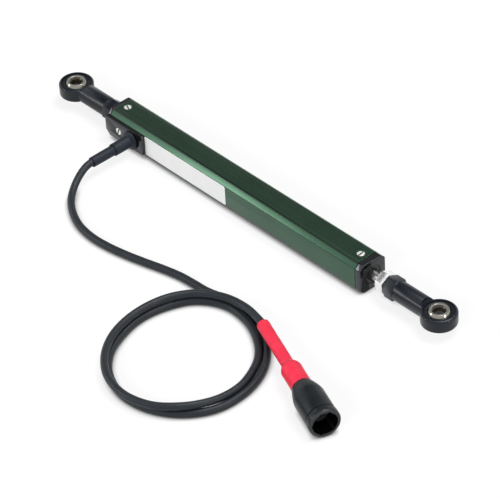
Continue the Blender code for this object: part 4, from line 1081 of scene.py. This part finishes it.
def lights():
    area_light("key_light", (0.15, 0.30, 1.0), 2.4, (1.2, 1.2), 34.0)
    area_light("left_softbox", (-0.60, -0.68, 0.40), 2.2, (0.70, 0.62), 8.0)
    area_light("right_softbox", (0.926, 0.165, 0.36), 2.2, (0.42, 0.42), 8.0)
    fill = area_light("fill_light", (0.25, -0.90, 0.45), 2.4, (1.2, 1.0), 34.0)
    fill.visible_glossy = False
    dark_card("upper_card", facing((-0.592, 0.52, 0.62), 2.0, (1.5, 1.5)), 0.30)
    dark_card("edge_card", facing((-0.592, -0.12, 0.79), 1.6, (1.2, 0.62)), 0.06)
    # Painted shadow: a dark card on the floor under the front rod, seen only in reflections,
    # darkens the left half of the front cap's face.
    near, far = FRONT_FACE + 0.3 * MM, FRONT_FACE + 17.9 * MM
    dark_card("painted_shadow_card", [(near, -9.6 * MM, 0.1 * MM), (near, -2.6 * MM, 0.1 * MM),
                             (far, 12.7 * MM, 0.1 * MM), (far, 5.7 * MM, 0.1 * MM)], 0.28)


def main():
    camera()
    looks = {
        "green": green_anodise(),
        "cap": black_anodise(),
        "oxide": black_oxide("black_oxide_steel", "R"),
        "oxide_bar": black_oxide("black_oxide_bar", "Z"),
        "race": black_oxide("black_oxide_race", "R"),
        "chrome": chrome(),
        "steel_bar": bright_steel("bright_steel_bar"),
        "nut": bright_steel("zinc_plated_nut", "R", 0.85, (0.80, 0.80, 0.80),
                            (0.90, 0.90, 0.89), (0.16, 0.26)),
        # The screws' last value is the height below which the slot is painted dark as shade.
        "screw": bright_steel("slotted_screw_steel", "R", 0.45, (0.80, 0.80, 0.79),
                              (0.90, 0.90, 0.88), (0.26, 0.36), -0.34 * MM),
        "red": red_shrink(),
        "shell": plug_plastic(),
        "insert": moulded_black("insert_moulding", (0.018, 0.019, 0.020),
                                (0.026, 0.027, 0.028), 0.30, 0.42, 2000.0, 0.01 * MM),
        "boot": moulded_black("gland_rubber", (0.004, 0.008, 0.015), (0.009, 0.013, 0.022),
                              0.45, 0.60, 1800.0, 0.02 * MM),
        "cable": moulded_black("cable_jacket", (0.010, 0.013, 0.017), (0.015, 0.019, 0.024),
                               0.38, 0.52, 1600.0, 0.012 * MM),
        "wiper": moulded_black("wiper_rubber", (0.010, 0.011, 0.012), (0.015, 0.016, 0.017),
                               0.12, 0.20, 1500.0, 0.002 * MM),
        "label": label_film(),
    }
    sleeve_and_plug(looks)
    cable(looks["cable"])
    body(looks)
    caps(looks)
    screws(looks)
    exit_plate(looks)
    gland(looks)
    label(looks)
    shaft(looks)
    seal(looks)
    lock_nut("front_nut", "front_lock_nut", looks, "nut", "shaft")
    lock_nut("rear_nut", "rear_lock_nut", looks, "oxide_bar", "base")
    stud(looks)
    rod_end("front", -1, "shaft", "front_ball", looks)
    rod_end("rear", 1, "base", "rear_ball", looks)
    inner_looks()
    floor()
    world()
    lights()
    scene = bpy.context.scene
    scene.view_settings.view_transform = "Standard"


def inner_looks():
    """The pieces inside keep their solids and get their own finishes."""
    acetal = plain("white_acetal", (0.66, 0.66, 0.63), (0.74, 0.74, 0.71), 0.0, 0.35, 0.5)
    rubber = plain("seal_rubber", (0.016, 0.017, 0.018), (0.026, 0.027, 0.028), 0.0, 0.55, 0.7)
    gold = plain("gold_plated_contact", (0.70, 0.48, 0.17), (0.82, 0.60, 0.24), 1.0, 0.18, 0.3)
    finishes = {
        "wiper_carriage": acetal,
        "terminal_header": acetal,
        "signal_wire": plain("white_insulation", (0.68, 0.68, 0.66), (0.76, 0.76, 0.74), 0.0,
                             0.4, 0.5),
        "supply_wire": plain("red_insulation", (0.55, 0.03, 0.03), (0.62, 0.05, 0.05), 0.0,
                             0.4, 0.5),
        "ground_wire": plain("black_insulation", (0.014, 0.014, 0.015), (0.022, 0.022, 0.023),
                             0.0, 0.4, 0.5),
        "shaft_bush": plain("sintered_bronze", (0.30, 0.17, 0.07), (0.42, 0.26, 0.12), 1.0,
                            0.35, 0.5),
        "front_stop_buffer": rubber,
        "rear_stop_buffer": rubber,
        "resistive_track": plain("track_board", (0.035, 0.075, 0.045), (0.05, 0.095, 0.06),
                                 0.0, 0.35, 0.5),
        "shaft_retaining_clip": plain("spring_steel", (0.34, 0.34, 0.33), (0.45, 0.45, 0.44),
                                      1.0, 0.28, 0.4),
        "wiper_contacts": gold,
        "connector_contact_1": gold,
        "connector_contact_2": gold,
        "connector_contact_3": gold,
    }
    for node, material in finishes.items():
        data = frame["nodes"][node].data
        data.materials.clear()
        data.materials.append(material)


main()
